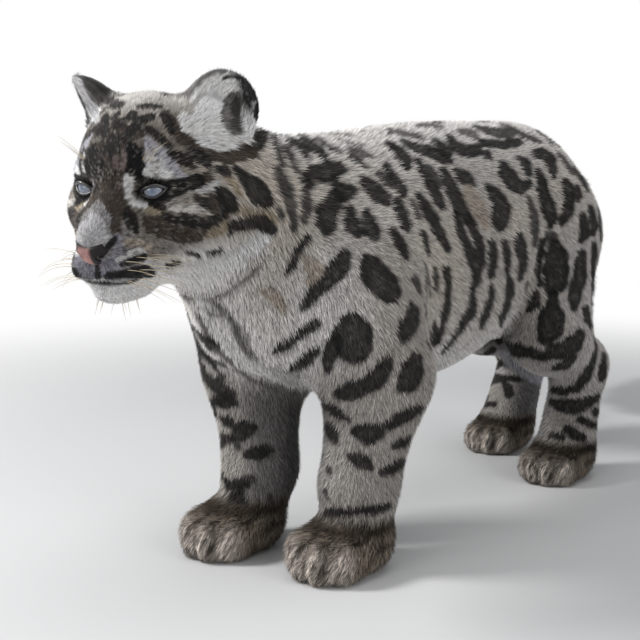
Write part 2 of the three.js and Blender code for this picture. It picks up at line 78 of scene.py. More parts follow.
TAIL = np.array([
    (0, 360, 470), (-6, 440, 440), (-20, 500, 380), (-44, 556, 280), (-74, 612, 190),
    (-112, 690, 128), (-160, 790, 100), (-208, 890, 108), (-246, 972, 140), (-262, 1006, 168),
], float)
TAIL_RADII = (52, 48, 43, 43, 43, 43, 43, 43, 38, 30)

eye_low, eye_high = (np.array(corner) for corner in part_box("eye_left"))
SHIFT = (eye_low + eye_high) * 500 - (HEAD_AT + HEAD_TURN @ EYE_AT)


def metres(points):
    return (np.asarray(points) + SHIFT) / 1000


# Camera, as the photograph was taken
PHOTO_SIZE, FOCAL_PIXELS, SENSOR = 640, 1100, 36
CAMERA_AT, AZIMUTH, ELEVATION = vec(891, -1278, 480), math.radians(40), math.radians(7.6)
BACK = vec(
    math.sin(AZIMUTH) * math.cos(ELEVATION),
    -math.cos(AZIMUTH) * math.cos(ELEVATION),
    math.sin(ELEVATION),
)
RIGHT = vec(math.cos(AZIMUTH), math.sin(AZIMUTH), 0)
UP = np.cross(BACK, RIGHT)

camera_data = bpy.data.cameras.new("camera")
camera_data.sensor_width = SENSOR
camera_data.lens = FOCAL_PIXELS * SENSOR / PHOTO_SIZE
camera_data.clip_start, camera_data.clip_end = 0.05, 60
camera = bpy.data.objects.new("camera", camera_data)
camera.matrix_world = Matrix.LocRotScale(
    metres(CAMERA_AT).tolist(), Matrix(np.stack([RIGHT, UP, BACK], 1).tolist()), None
)
bpy.context.scene.collection.objects.link(camera)
bpy.context.scene.camera = camera
bpy.context.scene.view_settings.view_transform = "Standard"


# Distance fields: negative inside, positive outside
def blend(a, b, width):
    overlap = np.maximum(width - np.abs(a - b), 0) / width
    return np.minimum(a, b) - overlap * overlap * width / 4


def carve(a, b, width):
    return -blend(-a, b, width)


def ellipsoid(p, at, radii):
    q = (p - np.array(at, float)) / np.array(radii, float)
    reach = np.sqrt((q * q).sum(1))
    q = q / np.array(radii, float)
    return reach * (reach - 1) / (np.sqrt((q * q).sum(1)) + 1e-9)


def limb(p, a, b, radius_a, radius_b, width=1.0):
    a, b = np.array(a, float), np.array(b, float)
    axis = b - a
    t = np.clip((p - a) @ axis / (axis @ axis), 0, 1)
    d = p - a - t[:, None] * axis
    if width != 1.0:
        d[:, 0] /= width
    return np.sqrt((d * d).sum(1)) - (radius_a + (radius_b - radius_a) * t)


def smooth(value, low, high):
    t = np.clip((value - low) / (high - low), 0, 1)
    return t * t * (3 - 2 * t)


def hump(value, width):
    return np.exp(-((value / width) ** 2))


def mirrored(p):
    m = p.copy()
    m[:, 0] = np.abs(m[:, 0])
    return m


def to_head(p):
    return (p - HEAD_AT) @ HEAD_TURN


def from_head(q):
    return q @ HEAD_TURN.T + HEAD_AT


def to_ear(q, side):
    at, turn = EARS[side]
    return (q - at) @ turn


def to_eye(m):
    return (m - EYE_AT) @ EYE_TURN


# Forms grown together: each has its blend width, then an ellipsoid's or a limb's own sizes
def built(p, forms, d=None):
    for width, *form in forms:
        new = (ellipsoid if len(form) == 2 else limb)(p, *form)
        d = new if d is None else blend(d, new, width)
    return d


HEAD_FORMS = (
    (0, (0, 70, 17), (74, 78, 72)),
    (26, (0, 24, 18), (50, 46, 38)),
    (28, (40, 40, -32), (42, 50, 38)),
    (28, (44, 66, -50), (42, 48, 38)),
    (22, (0, 0, 2), (0, -57, -44), 23, 21),
    (24, (24, -8, -46), (24, 34, 26)),
    (18, (0, -26, -74), (38, 32, 26)),
    (10, (20, -36, -78), (20, 27, 20)),
    (12, (0, -20, -106), (27, 34, 17)),
    (22, (16, 4, -100), (36, 62, -76), 17, 35),
    (12, (16, -6, 16), (52, 16, 10), 11, 10),
    (8, (0, -62, -55), (20, 15, 16)),
    (20, (54, 86, 52), (32, 30, 32)),
)
TORSO_FORMS = (
    (0, (0, -185, 368), (112, 165, 160)),
    (60, (0, -20, 376), (118, 235, 176)),
    (60, (0, 160, 398), (112, 215, 160)),
    (60, (0, 254, 417), (104, 129, 127)),
    (40, (0, -10, 300), (72, 170, 97)),
)
SHOULDER_BLADES = ((50, (50, -130, 450), (84, -250, 330), 40, 64),)
NECK_FORMS = (
    (0, (0, -230, 382), (-6, -430, 460), 92, 80),
    (50, (-24, -318, 314), (0, -424, 402), 74, 44),
    (34, (0, -262, 468), (4, -400, 497), 46, 50),
)
TOES = ((-36, -36, 25), (-13, -54, 25), (13, -54, 25), (36, -36, 25))
PAW_FORMS = (
    (0, (0, 6, 30), (56, 64, 40)),
    *((11, toe, (17, 26, 28)) for toe in TOES),
    (9, (0, -32, 16), (47, 41, 22)),
)
TAIL_FORMS = [(12, TAIL[i], TAIL[i + 1], *TAIL_RADII[i : i + 2]) for i in range(len(TAIL) - 1)]
# A leg has the radii of its three lengths, two blend widths, its ankle, its flatness and its paw's scale
FRONT_LEG = ((74, 67), (67, 49), (49, 44)), (30, 20), vec(0, 26, 44), 1.0, 1.0
HIND_LEG = ((96, 66), (60, 42), (42, 48)), (40, 30), vec(0, 26, 50), 0.8, HIND_PAW_SCALE
PAW_BLEND = 16
FAR = 200.0


def head_field(p):
    m = mirrored(to_head(p))
    return carve(built(m, HEAD_FORMS), ellipsoid(m, (40, -16, -5), (17, 14, 10)), 10)


def torso_field(p):
    return built(mirrored(p), SHOULDER_BLADES, built(p, TORSO_FORMS))


def leg_field(p, joints, leg):
    radii, widths, ankle, flatness, scale = leg
    *upper, paw = joints
    line = [*upper, paw + ankle]
    d = limb(p, *line[:2], *radii[0], flatness)
    for i, width in enumerate(widths, 1):
        d = blend(d, limb(p, *line[i : i + 2], *radii[i]), width)
    return blend(d, built((p - paw) / scale, PAW_FORMS) * scale, PAW_BLEND)


def near(p, where, field):
    d = np.full(len(p), FAR)
    if where.any():
        d[where] = field(p[where])
    return d


LEGS = ("front_left", "front_right", "hind_left", "hind_right")
NAMES = ("head", "neck", "torso", *LEGS, "tail")


def regions(p):
    x, y, z = p.T
    fore, hind = (y > -420) & (y < -80) & (z < 470), (y > 60) & (y < 590) & (z < 530)
    made = {
        "head": near(p, y < -335, head_field),
        "neck": near(p, y < -60, lambda q: built(q, NECK_FORMS)),
        "torso": near(p, (y > -430) & (y < 450), torso_field),
        "tail": near(p, y > 280, lambda q: built(q, TAIL_FORMS)),
    }
    for side, out in SIDES.items():
        made["front_" + side] = near(
            p, fore & (x * out > -60), lambda q: leg_field(q, FRONT_LEGS[side], FRONT_LEG)
        )
        made["hind_" + side] = near(
            p, hind & (x * out > -80), lambda q: leg_field(q, HIND_LEGS[side], HIND_LEG)
        )
    return made


def shares(r, width=14.0):
    stack = np.stack([r[name] for name in NAMES])
    weight = np.exp(-(stack - stack.min(0)) / width)
    return dict(zip(NAMES, weight / weight.sum(0)))


def of_legs(share):
    return sum(share[leg] for leg in LEGS)


# A measure of the coat that differs from region to region
def by_region(p, share, face, crown, neck, torso, leg, paw, tail):
    back_of_face = smooth(to_head(p)[:, 1], -20, 70)
    low = 1 - smooth(p[:, 2], 62, 92)
    return (
        share["head"] * (face + (crown - face) * back_of_face)
        + share["neck"] * neck
        + share["torso"] * torso
        + of_legs(share) * (leg + (paw - leg) * low)
        + share["tail"] * tail
    )


DEPTHS = dict(face=2.0, crown=4.0, neck=6.0, torso=5.5, leg=4.5, paw=4.5, tail=12.0)
EAR_CUP = (0, -17, 26), (38, 31, 44)


def ear_field(q, side):
    e = to_ear(q, side)
    d = carve(ellipsoid(e, (0, 4, 14), (43, 27, 49)), ellipsoid(e, *EAR_CUP), 3)
    opening = -((e - vec(0, 10, 62)) @ vec(0, 0.93, -0.37))
    return np.maximum(carve(d, -opening, 3), -22 - e[:, 2])


MOUTH_MIDDLE, MOUTH_HEIGHT, MOUTH_CORNER, MOUTH_RISE = 16, -94, math.radians(60), 15


def mouth_line(m):
    angle = np.arctan2(m[:, 0], MOUTH_MIDDLE - m[:, 1])
    return angle, m[:, 2] - MOUTH_HEIGHT - MOUTH_RISE * np.sin(angle) ** 2


LID_ABOVE, LID_BELOW, LID_HALF, LID_SLOPE = 5.4, 6.6, 13.5, 0.12


def almond(e):
    x, z = e[:, 0], e[:, 2]
    arch = 1 - (x / LID_HALF) ** 2
    above, below = z - LID_SLOPE * x - LID_ABOVE * arch, -z + LID_SLOPE * x - LID_BELOW * arch
    return np.maximum(above, below) * 0.75


def face_folds(q, d):
    m = mirrored(q)
    angle, rise = mouth_line(m)
    lips = (1 - smooth(angle, 0.85, 1.15)) * (m[:, 1] < 10)
    d = d - lips * (1.6 * hump(rise - 5.5, 3.2) + 1.3 * hump(rise + 5.0, 3.0))
    slit = np.maximum(np.maximum(np.abs(rise) - 0.7, -(d + 6)), (angle - MOUTH_CORNER) * 50)
    d = carve(d, slit, 1.2)
    philtrum = hump(m[:, 0], 2.2) * (m[:, 1] < -40) * smooth(m[:, 2], -98, -90) * (m[:, 2] < -66)
    d = d + 1.8 * philtrum
    e = to_eye(m)
    reach = np.sqrt((e * e).sum(1))
    d = blend(d, reach - EYE_RADIUS - 2.4, 5)
    d = carve(d, np.maximum(almond(e), e[:, 1] + 2), 1.2)
    return np.maximum(d, EYE_RADIUS + 0.5 - reach)


SOLE = 1.2


def unfolded_field(p):
    r = regions(p)
    d = blend(r["torso"], r["neck"], 60)
    d = blend(d, r["head"], 30)
    for leg in LEGS:
        d = blend(d, r[leg], 42)
    d = blend(d, r["tail"], 30) + by_region(p, shares(r), **DEPTHS)
    head = p[:, 1] < -360
    if head.any():
        q, here = to_head(p[head]), d[head]
        for side in EARS:
            here = blend(here, ear_field(q, side) + 1.6, 12)
        d[head] = face_folds(q, here)
    return np.maximum(d, SOLE - p[:, 2])


FOLD_LINES = []


def skin_field(p):
    d = unfolded_field(p)
    for line, deep, wide in FOLD_LINES:
        low, high = line.min(0) - 3 * wide, line.max(0) + 3 * wide
        close = np.nonzero(((p > low) & (p < high)).all(1))[0]
        if len(close):
            here = p[close]
            away = np.min([limb(here, a, b, 0, 0) for a, b in zip(line[:-1], line[1:])], axis=0)
            ends = np.min([norm(here - end) for end in line[[0, -1]]], axis=0)
            d[close] += deep * hump(away, wide) * smooth(ends, 0, 3 * wide)
    return d


TAPS = np.array([(1, -1, -1), (-1, -1, 1), (-1, 1, -1), (1, 1, 1)], float)


def gradient(field, p, step=0.6):
    g = np.zeros_like(p)
    for tap in TAPS:
        g += field(p + tap * step)[:, None] * tap
    return g / (4 * step)


def norm(a):
    return np.linalg.norm(a, axis=1)


def unit(a):
    return a / (norm(a)[:, None] + 1e-9)


def settle(field, p, passes=3, most=2.5):
    for _ in range(passes):
        g = gradient(field, p)
        move = -field(p)[:, None] * g / np.maximum((g * g).sum(1), 0.3)[:, None]
        length = norm(move)[:, None]
        p = p + move * np.minimum(1, most / (length + 1e-9))
    return p


# A closed surface of quads round the zero of a field, on a grid that may be finer in places
BLOCK, MOST_AT_ONCE = 4, 200000


def grid(lines):
    return np.stack(np.meshgrid(*lines, indexing="ij"), -1).reshape(-1, 3)


def in_parts(items):
    return np.array_split(items, max(1, len(items) // MOST_AT_ONCE))


def nets(field, *lines):
    blocks = [-(-len(line) // BLOCK) for line in lines]
    shape = [n * BLOCK for n in blocks]
    axes = [
        np.concatenate([a, a[-1] + (a[-1] - a[-2]) * np.arange(1, n - len(a) + 1)])
        for a, n in zip(lines, shape)
    ]
    centre = grid([a.reshape(-1, BLOCK).mean(1) for a in axes])
    size = grid([np.ptp(a.reshape(-1, BLOCK), axis=1) for a in axes])
    rough = np.concatenate([field(part) for part in in_parts(centre)])
    values = rough.reshape(blocks).astype(np.float32)
    for axis in range(3):
        values = np.repeat(values, BLOCK, axis)
    busy = np.nonzero(np.abs(rough) < norm(size) * 0.95 + 3)[0]
    low = np.stack(np.unravel_index(busy, blocks), 1) * BLOCK
    for part in in_parts((low[:, None] + grid([np.arange(BLOCK)] * 3)).reshape(-1, 3)):
        i, j, k = part.T
        values[i, j, k] = field(np.stack([axes[0][i], axes[1][j], axes[2][k]], 1))
    inside = values < 0
    count = np.zeros([n - 1 for n in shape], np.int8)
    for a, b, c in np.ndindex(2, 2, 2):
        count += inside[a : a + shape[0] - 1, b : b + shape[1] - 1, c : c + shape[2] - 1]
    cell = np.stack(np.nonzero((count > 0) & (count < 8)), 1)
    total, hits, ways = np.zeros((len(cell), 3)), np.zeros(len(cell)), np.eye(3, dtype=int)
    for corner in np.ndindex(2, 2, 2):
        for axis in range(3):
            if corner[axis]:
                continue
            a = values[tuple((cell + corner).T)]
            b = values[tuple((cell + corner + ways[axis]).T)]
            cross = (a < 0) != (b < 0)
            t = np.where(cross, a / np.where(cross, a - b, 1), 0)
            total += cross[:, None] * np.array(corner, float)
            total[:, axis] += cross * t
            hits += cross
    spot = total / hits[:, None]
    points = np.stack([
        axes[n][cell[:, n]] + spot[:, n] * (axes[n][cell[:, n] + 1] - axes[n][cell[:, n]])
        for n in range(3)
    ], 1)
    number = np.full(count.shape, -1, np.int32)
    number[tuple(cell.T)] = np.arange(len(cell))
    quads = []
    for axis in range(3):
        one, two = ways[[(axis + 1) % 3, (axis + 2) % 3]]
        upper, lower = [slice(None)] * 3, [slice(None)] * 3
        upper[axis], lower[axis] = slice(1, None), slice(None, -1)
        here, there = inside[tuple(lower)], inside[tuple(upper)]
        edge = np.stack(np.nonzero(here != there), 1)
        inward = ~here[tuple(edge.T)]
        ring = np.stack([
            number[tuple((edge - s * one - t * two).T)] for s, t in ((1, 1), (0, 1), (0, 0), (1, 0))
        ], 1)
        ring[inward] = ring[inward][:, ::-1]
        quads.append(ring)
    return points, np.concatenate(quads)


def steps(*stretches):
    line = [float(stretches[0][0])]
    for start, end, gap in stretches:
        count = max(1, round((end - start) / gap))
        line += list(start + (end - start) * np.arange(1, count + 1) / count)
    return np.array(line)


# Points in millimetres; faces as rows of one array, or as a list of tuples
def mesh_object(name, points, faces, colours=None, normals=None, maps=None):
    flat = faces.ravel() if isinstance(faces, np.ndarray) else np.concatenate(faces)
    starts = np.cumsum([0] + [len(face) for face in faces])[:-1]
    mesh = bpy.data.meshes.new(name)
    mesh.vertices.add(len(points))
    mesh.vertices.foreach_set("co", metres(points).astype(np.float32).ravel())
    mesh.loops.add(len(flat))
    mesh.loops.foreach_set("vertex_index", flat.astype(np.int32))
    mesh.polygons.add(len(faces))
    mesh.polygons.foreach_set("loop_start", starts.astype(np.int32))
    mesh.polygons.foreach_set("use_smooth", np.full(len(faces), True))
    mesh.update(calc_edges=True)
    if colours is not None:
        layer = mesh.attributes.new("coat", "FLOAT_COLOR", "POINT")
        rgba = np.concatenate([colours, np.ones((len(colours), 1))], 1)
        layer.data.foreach_set("color", rgba.astype(np.float32).ravel())
    if maps is not None:
        uv = mesh.uv_layers.new(name="OFBake")
        uv.data.foreach_set("uv", maps[flat].astype(np.float32).ravel())
    if normals is not None:
        mesh.normals_split_custom_set_from_vertices(normals.astype(np.float32))
    piece = bpy.data.objects.new(name, mesh)
    bpy.context.scene.collection.objects.link(piece)
    return piece


MARCH_STEPS = 90


# Landing places on the skin of pixels of the photograph, with how far away they are
def landing(pixels, field=skin_field, first=500.0, last=3400.0):
    pixels = np.asarray(pixels, float)
    side = (pixels[:, 0] - PHOTO_SIZE / 2) / FOCAL_PIXELS
    rise = (PHOTO_SIZE / 2 - pixels[:, 1]) / FOCAL_PIXELS
    ray = unit(RIGHT * side[:, None] + UP * rise[:, None] - BACK)
    t = np.full(len(pixels), first)
    nearest, best = np.full(len(pixels), 1e9), t.copy()
    for _ in range(MARCH_STEPS):
        d = field(CAMERA_AT + ray * t[:, None])
        closer = (d < nearest) & (t < last)
        nearest[closer], best[closer] = d[closer], t[closer]
        t = np.minimum(t + np.maximum(d * 0.8, 0.02), last)
    spot = CAMERA_AT + ray * best[:, None]
    return settle(field, spot, 3, 12.0), best


LEVELS = (0, 100, 235, 350, 500)


def leg_offset(z, legs):
    gaps = [legs["right"][3 - i] - legs["left"][3 - i] * FLIP for i in range(3)]
    gaps += [legs["right"][0] - legs["left"][0] * FLIP, vec(0, 0, 0)]
    return np.stack([np.interp(z, LEVELS, [g[a] for g in gaps]) for a in range(3)], 1) * vec(1, 1, 0)


# Folds of the skin, by pixels of the photograph: a line, then how deep and how wide it is
FOLDS = (
    (((542, 232), (539, 250), (534, 275), (524, 304), (508, 330), (492, 346)), 8.0, 8.0),
    (((430, 215), (430, 245), (431, 280), (431, 315), (429, 350)), 4.0, 5.5),
    (((206, 300), (219, 311), (229, 322), (235, 350), (248, 370), (272, 382), (304, 389)), 3.5, 5.5),
    (((186, 290), (206, 292), (224, 284), (241, 271), (256, 257), (270, 243)), 3.5, 5.0),
)


def folded(lines):
    made = []
    for pixels, deep, wide in lines:
        spots, _ = landing(pixels, unfolded_field)
        made.append((spots, deep, wide))
        other = spots * FLIP
        if spots[:, 1].mean() > 0:
            other = other + leg_offset(spots[:, 2], HIND_LEGS)
        elif spots[:, 1].mean() > -360:
            other = other + leg_offset(spots[:, 2], FRONT_LEGS)
        else:
            other = from_head(to_head(spots) * FLIP)
        made.append((settle(unfolded_field, other, 5, 14.0), deep, wide))
    return made


FOLD_LINES += folded(FOLDS)

# Skin
x_steps = steps((-340, 0, 2.6), (0, 160, 2.6))
y_steps = steps((-700, -420, 2.0), (-420, -330, 3.0), (-330, 1060, 4.2))
z_steps = steps((-12, 300, 4.0), (300, 350, 3.0), (350, 620, 2.0))
points, quads = nets(skin_field, x_steps, y_steps, z_steps)
points = settle(skin_field, points, 2)
points[:, 2] = np.maximum(points[:, 2], SOLE)

# Colours of the coat, as linear light
TINTS = {
    "black": (0.009, 0.0085, 0.0085),
    "char": (0.019, 0.0178, 0.0172),
    "grey": (0.062, 0.058, 0.054),
    "ash": (0.15, 0.14, 0.132),
    "umber": (0.06, 0.046, 0.036),
    "tan": (0.33, 0.275, 0.2),
    "rose": (0.17, 0.134, 0.128),
    "pale": (0.6, 0.59, 0.585),
    "slate": (0.4, 0.395, 0.43),
    "white": (0.76, 0.75, 0.745),
    "cream": (0.56, 0.535, 0.505),
    "dust": (0.4, 0.345, 0.29),
    "shade": (0.23, 0.215, 0.2),
    "plate": (0.45, 0.442, 0.45),
    "iron": (0.27, 0.262, 0.3),
}

# Markings, with some painted shade and painted highlights, by pixels of the photograph: a tint, then x, y and
# width of each point of a chain
# The first four chains are painted shadow under the jaw and in the throat fold, a painted highlight along the
# chest fold's edge and painted shade beside it
NECK_MARKS_AND_PAINTED_LIGHT = """
shade 186 293 2 199 297 4 212 296 5 227 290 5 243 279 4 257 266 3 268 253 2
shade 196 303 2 208 309 3 222 315 2
white 186 272 3 200 302 4 215 331 4 233 353 5 254 370 5 277 380 4 299 386 3
ash 199 314 3 212 340 4 230 361 4 252 378 4 275 388 3
grey 272 138 5 275 146 7 278 155 6 281 164 5
grey 284 150 7 288 158 8 292 166 7 297 173 4
char 291 141 5 295 145 7 301 150 8 306 157 6 308 161 4
char 298 134 5 304 141 7 310 147 8 317 151 10 322 156 9 325 162 6
grey 278 130 4 286 133 4
grey 272 127 2.5 281 136 2.5 289 147 2.5
grey 318 140 4 324 145 5 332 150 4 340 154 3
grey 349 156 4 358 162 7 365 168 4
ash 350 150 4 362 155 8 370 158 4
ash 322 136 3 332 136 3
ash 337 136 3 348 137 3
ash 338 141 2.5 350 144 2.5 360 148 2.5
grey 303 193 6 305 200 9 306 208 9 303 216 8 303 222 4
grey 275 170 5 279 178 8 284 188 9 288 198 9 291 208 8 292 218 7 293 230 5
grey 276 208 4 281 216 5
char 306 238 6 301 244 9 297 252 9 293 260 9 289 268 6 285 274 3
"""
SHOULDER_MARKS = """
char 306 176 9 312 172 14 320 174 18 330 173 18 339 170 13 345 171 6
char 303 180 6 309 185 7
char 333 180 8 337 188 14 344 192 17 349 190 12
char 334 198 13 330 204 16 325 212 18 325 222 17 327 230 12
char 361 180 6 367 186 12 374 192 17 381 198 14 386 203 7
grey 377 173 5 384 180 7 389 188 5
char 385 168 5 391 176 9 397 185 11 402 193 7
char 349 211 8 351 218 11 352 226 13 357 232 9
char 365 214 8 368 222 14 371 230 15 374 237 8
char 397 203 6 399 210 11 402 219 13 405 228 9
char 392 231 8 396 238 11 401 247 11 405 256 9
char 344 256 12 341 264 17 336 273 15 330 281 11 322 287 12 314 294 14 307 301 11 303 306 6
char 367 259 9 371 266 18 375 276 23 383 285 24 389 293 18 392 299 8
char 409 305 9 411 313 15 408 323 18 405 333 14 403 339 7
char 317 323 7 309 328 8 299 335 10 289 342 11 280 347 10 274 351 5
char 316 349 7 309 355 9 302 361 11 295 365 8 290 367 4
char 351 326 22 353 336 34 354 346 30 356 354 12
char 336 340 12 332 350 14 329 360 9 328 369 5
char 388 358 8 384 366 14 380 374 15 372 381 15 362 386 14 352 390 15 343 393 11 337 393 6
char 413 362 14 412 370 20 409 379 20 404 386 12 399 388 5
"""
FLANK_MARKS = """
ash 418 127 5 428 126 7 440 128 5
ash 390 133 8 400 134 9 412 137 8 421 140 5
grey 386 145 5 392 148 8
char 392 148 8 398 152 11 404 159 12 406 167 8 406 171 5
char 402 143 6 412 148 11 424 151 14 436 155 13 445 159 10 450 162 5
char 434 142 7 440 148 12 446 154 12
char 448 138 7 452 144 9 460 151 13 468 153 12 476 150 11 480 147 5
char 482 153 7 486 155 9 489 159 4
ash 460 132 6 470 134 8 474 138 5
grey 475 128 6 485 131 10 497 134 13 508 134 10 514 132 6
char 482 144 7 492 144 8 502 146 9 512 144 9 519 142 5
grey 500 125 3 512 130 5 522 136 7 532 140 6 540 143 4
char 417 163 7 422 171 9 427 180 11 432 189 13 437 198 12 441 206 7
grey 428 168 6 434 176 7 439 184 6
char 442 173 9 447 182 12 451 192 14 456 203 14 461 212 13 466 220 9
char 455 172 5 460 176 10 466 180 13 471 185 8
char 418 198 7 423 206 11 428 214 11 433 222 13 438 231 12 442 240 10 447 249 8
grey 410 201 3 414 209 5 417 217 4
char 421 234 5 425 244 8 427 253 7
char 455 215 8 458 226 9 462 237 10 466 248 10 470 258 13 475 267 13 475 277 9 472 288 5
char 467 221 8 471 228 9 476 238 9 480 250 8 481 262 7
char 487 188 9 493 193 14 498 201 15 500 210 20 499 219 19 498 226 9
char 502 165 9 505 174 14 512 183 17 520 188 12 527 183 8
char 518 159 6 524 164 11 527 172 8
char 491 244 6 492 254 10 492 265 9 490 276 5
char 503 243 5 506 256 8 506 268 7 506 277 4
char 518 235 5 519 246 12 522 257 11 521 268 9 519 278 3
grey 527 198 6 531 210 9 533 222 11 534 233 9 533 244 5
char 445 270 8 446 281 8 446 293 8 446 305 8 443 317 8 440 329 7 437 341 5
grey 423 264 4 426 274 5 427 285 5 428 295 4
grey 433 268 4 435 279 5 435 288 4
grey 414 280 5 417 287 6 419 292 4
char 471 293 5 472 303 8 469 313 9 463 321 9 458 330 8 451 340 6 442 350 3
char 490 285 6 490 295 8 487 306 9 483 316 9 480 326 6
char 508 283 6 509 293 9 506 304 9 502 315 8 500 324 4
grey 424 306 4 425 318 5 427 330 5 429 341 4
char 433 322 4 434 333 6 434 342 5
dust 468 191 11 474 202 14 480 214 11 484 225 7
dust 300 256 6 308 262 12 316 270 14 312 282 8
dust 262 290 6 274 296 12 282 308 8
"""
# The black chains near x 540 and x 555, from y 240 to 283, are painted shade in the thigh fold and the shadow
# that the flank's rear edge casts on the thigh
HAUNCH_MARKS_AND_SHADOW = """
slate 498 352 6 510 361 12 525 370 14 541 379 10
grey 534 131 4 543 137 5 551 145 4
char 536 155 8 543 154 13 549 161 15 552 170 10 552 177 5
grey 557 154 4 563 160 6 568 168 7 571 173 5
char 573 168 5 578 175 8 584 184 8 587 191 4
black 537 172 7 541 184 12 543 196 14 547 208 16 550 218 14 549 226 8
black 564 182 8 568 192 12 569 201 12 566 211 12 562 220 9 560 225 5
char 577 188 4 578 196 6 577 201 3
char 582 216 5 583 224 9 583 233 11 580 240 5
char 590 208 5 592 217 8 594 226 8 593 233 4
char 597 208 3 599 225 3 600 240 3
grey 546 234 8 553 237 9
black 541 240 6 538 255 8 537 270 8 538 283 6
black 554 246 14 556 257 22 555 270 27 555 281 24
char 581 254 9 579 264 13 579 276 15 576 287 13 574 298 14 573 308 7
char 594 244 6 594 254 9 593 265 7
char 593 272 8 594 282 9 596 292 7 595 302 5
black 534 293 7 533 303 12 529 310 7
black 553 296 9 552 306 13 551 318 25 550 328 24 546 336 15
char 585 308 8 587 318 9 590 326 5
black 500 341 8 508 347 15 520 350 13 531 353 11 541 357 8
char 543 358 6 553 352 14 563 350 18 573 344 19 580 335 11
char 556 366 8 566 364 12 572 358 10
char 594 335 6 595 345 8 594 356 8 590 366 9 585 377 9 577 388 8 566 391 7 554 390 5
char 603 355 6 602 368 9 601 377 6
"""
HIND_LEG_MARKS = """
char 553 403 6 563 406 10 576 406 12 588 401 10 597 396 6
char 595 412 7 601 413 6
black 580 420 5 588 424 8 596 426 5
black 567 430 5 574 434 9 582 437 7
char 552 436 4 562 437 5
char 588 446 5 595 449 5
"""
FRONT_LEG_MARKS = """
char 326 405 6 334 410 9 343 416 8 349 420 4
char 330 428 9 334 435 10 337 441 5
char 358 431 11 367 433 19 377 430 13 381 427 6
char 389 424 10 399 418 12 410 413 12 419 409 8
char 394 445 6 402 442 9 410 437 6
char 350 455 7 358 459 13 366 464 12 371 468 5
char 381 472 6 389 469 9 398 464 9 404 461 5
grey 322 453 5 322 462 4
grey 329 468 5 331 473 4
grey 403 474 4 404 484 5
grey 326 492 6 329 498 4
char 329 511 6 340 511 7 350 511 5 358 510 4
char 362 509 6 372 509 7 382 506 6 388 505 4
"""
FAR_SIDE_MARKS = """
char 191 322 5 198 329 8 207 336 8 217 342 5
char 196 345 7 205 352 10 215 358 10 223 361 5
char 199 374 5 202 379 4
char 212 400 6 219 399 9 224 397 5
char 223 418 6 228 421 12 233 424 7
grey 221 438 5 223 446 5
char 247 454 6 256 453 12 265 450 8 271 450 4
char 236 482 6 242 483 9 247 484 5
char 234 497 6 240 499 8 246 502 5
grey 269 496 4 272 499 3
char 476 358 4 484 354 6 492 350 8
char 486 367 3 496 366 5 502 363 4
char 504 382 5 508 388 8 509 394 8
"""
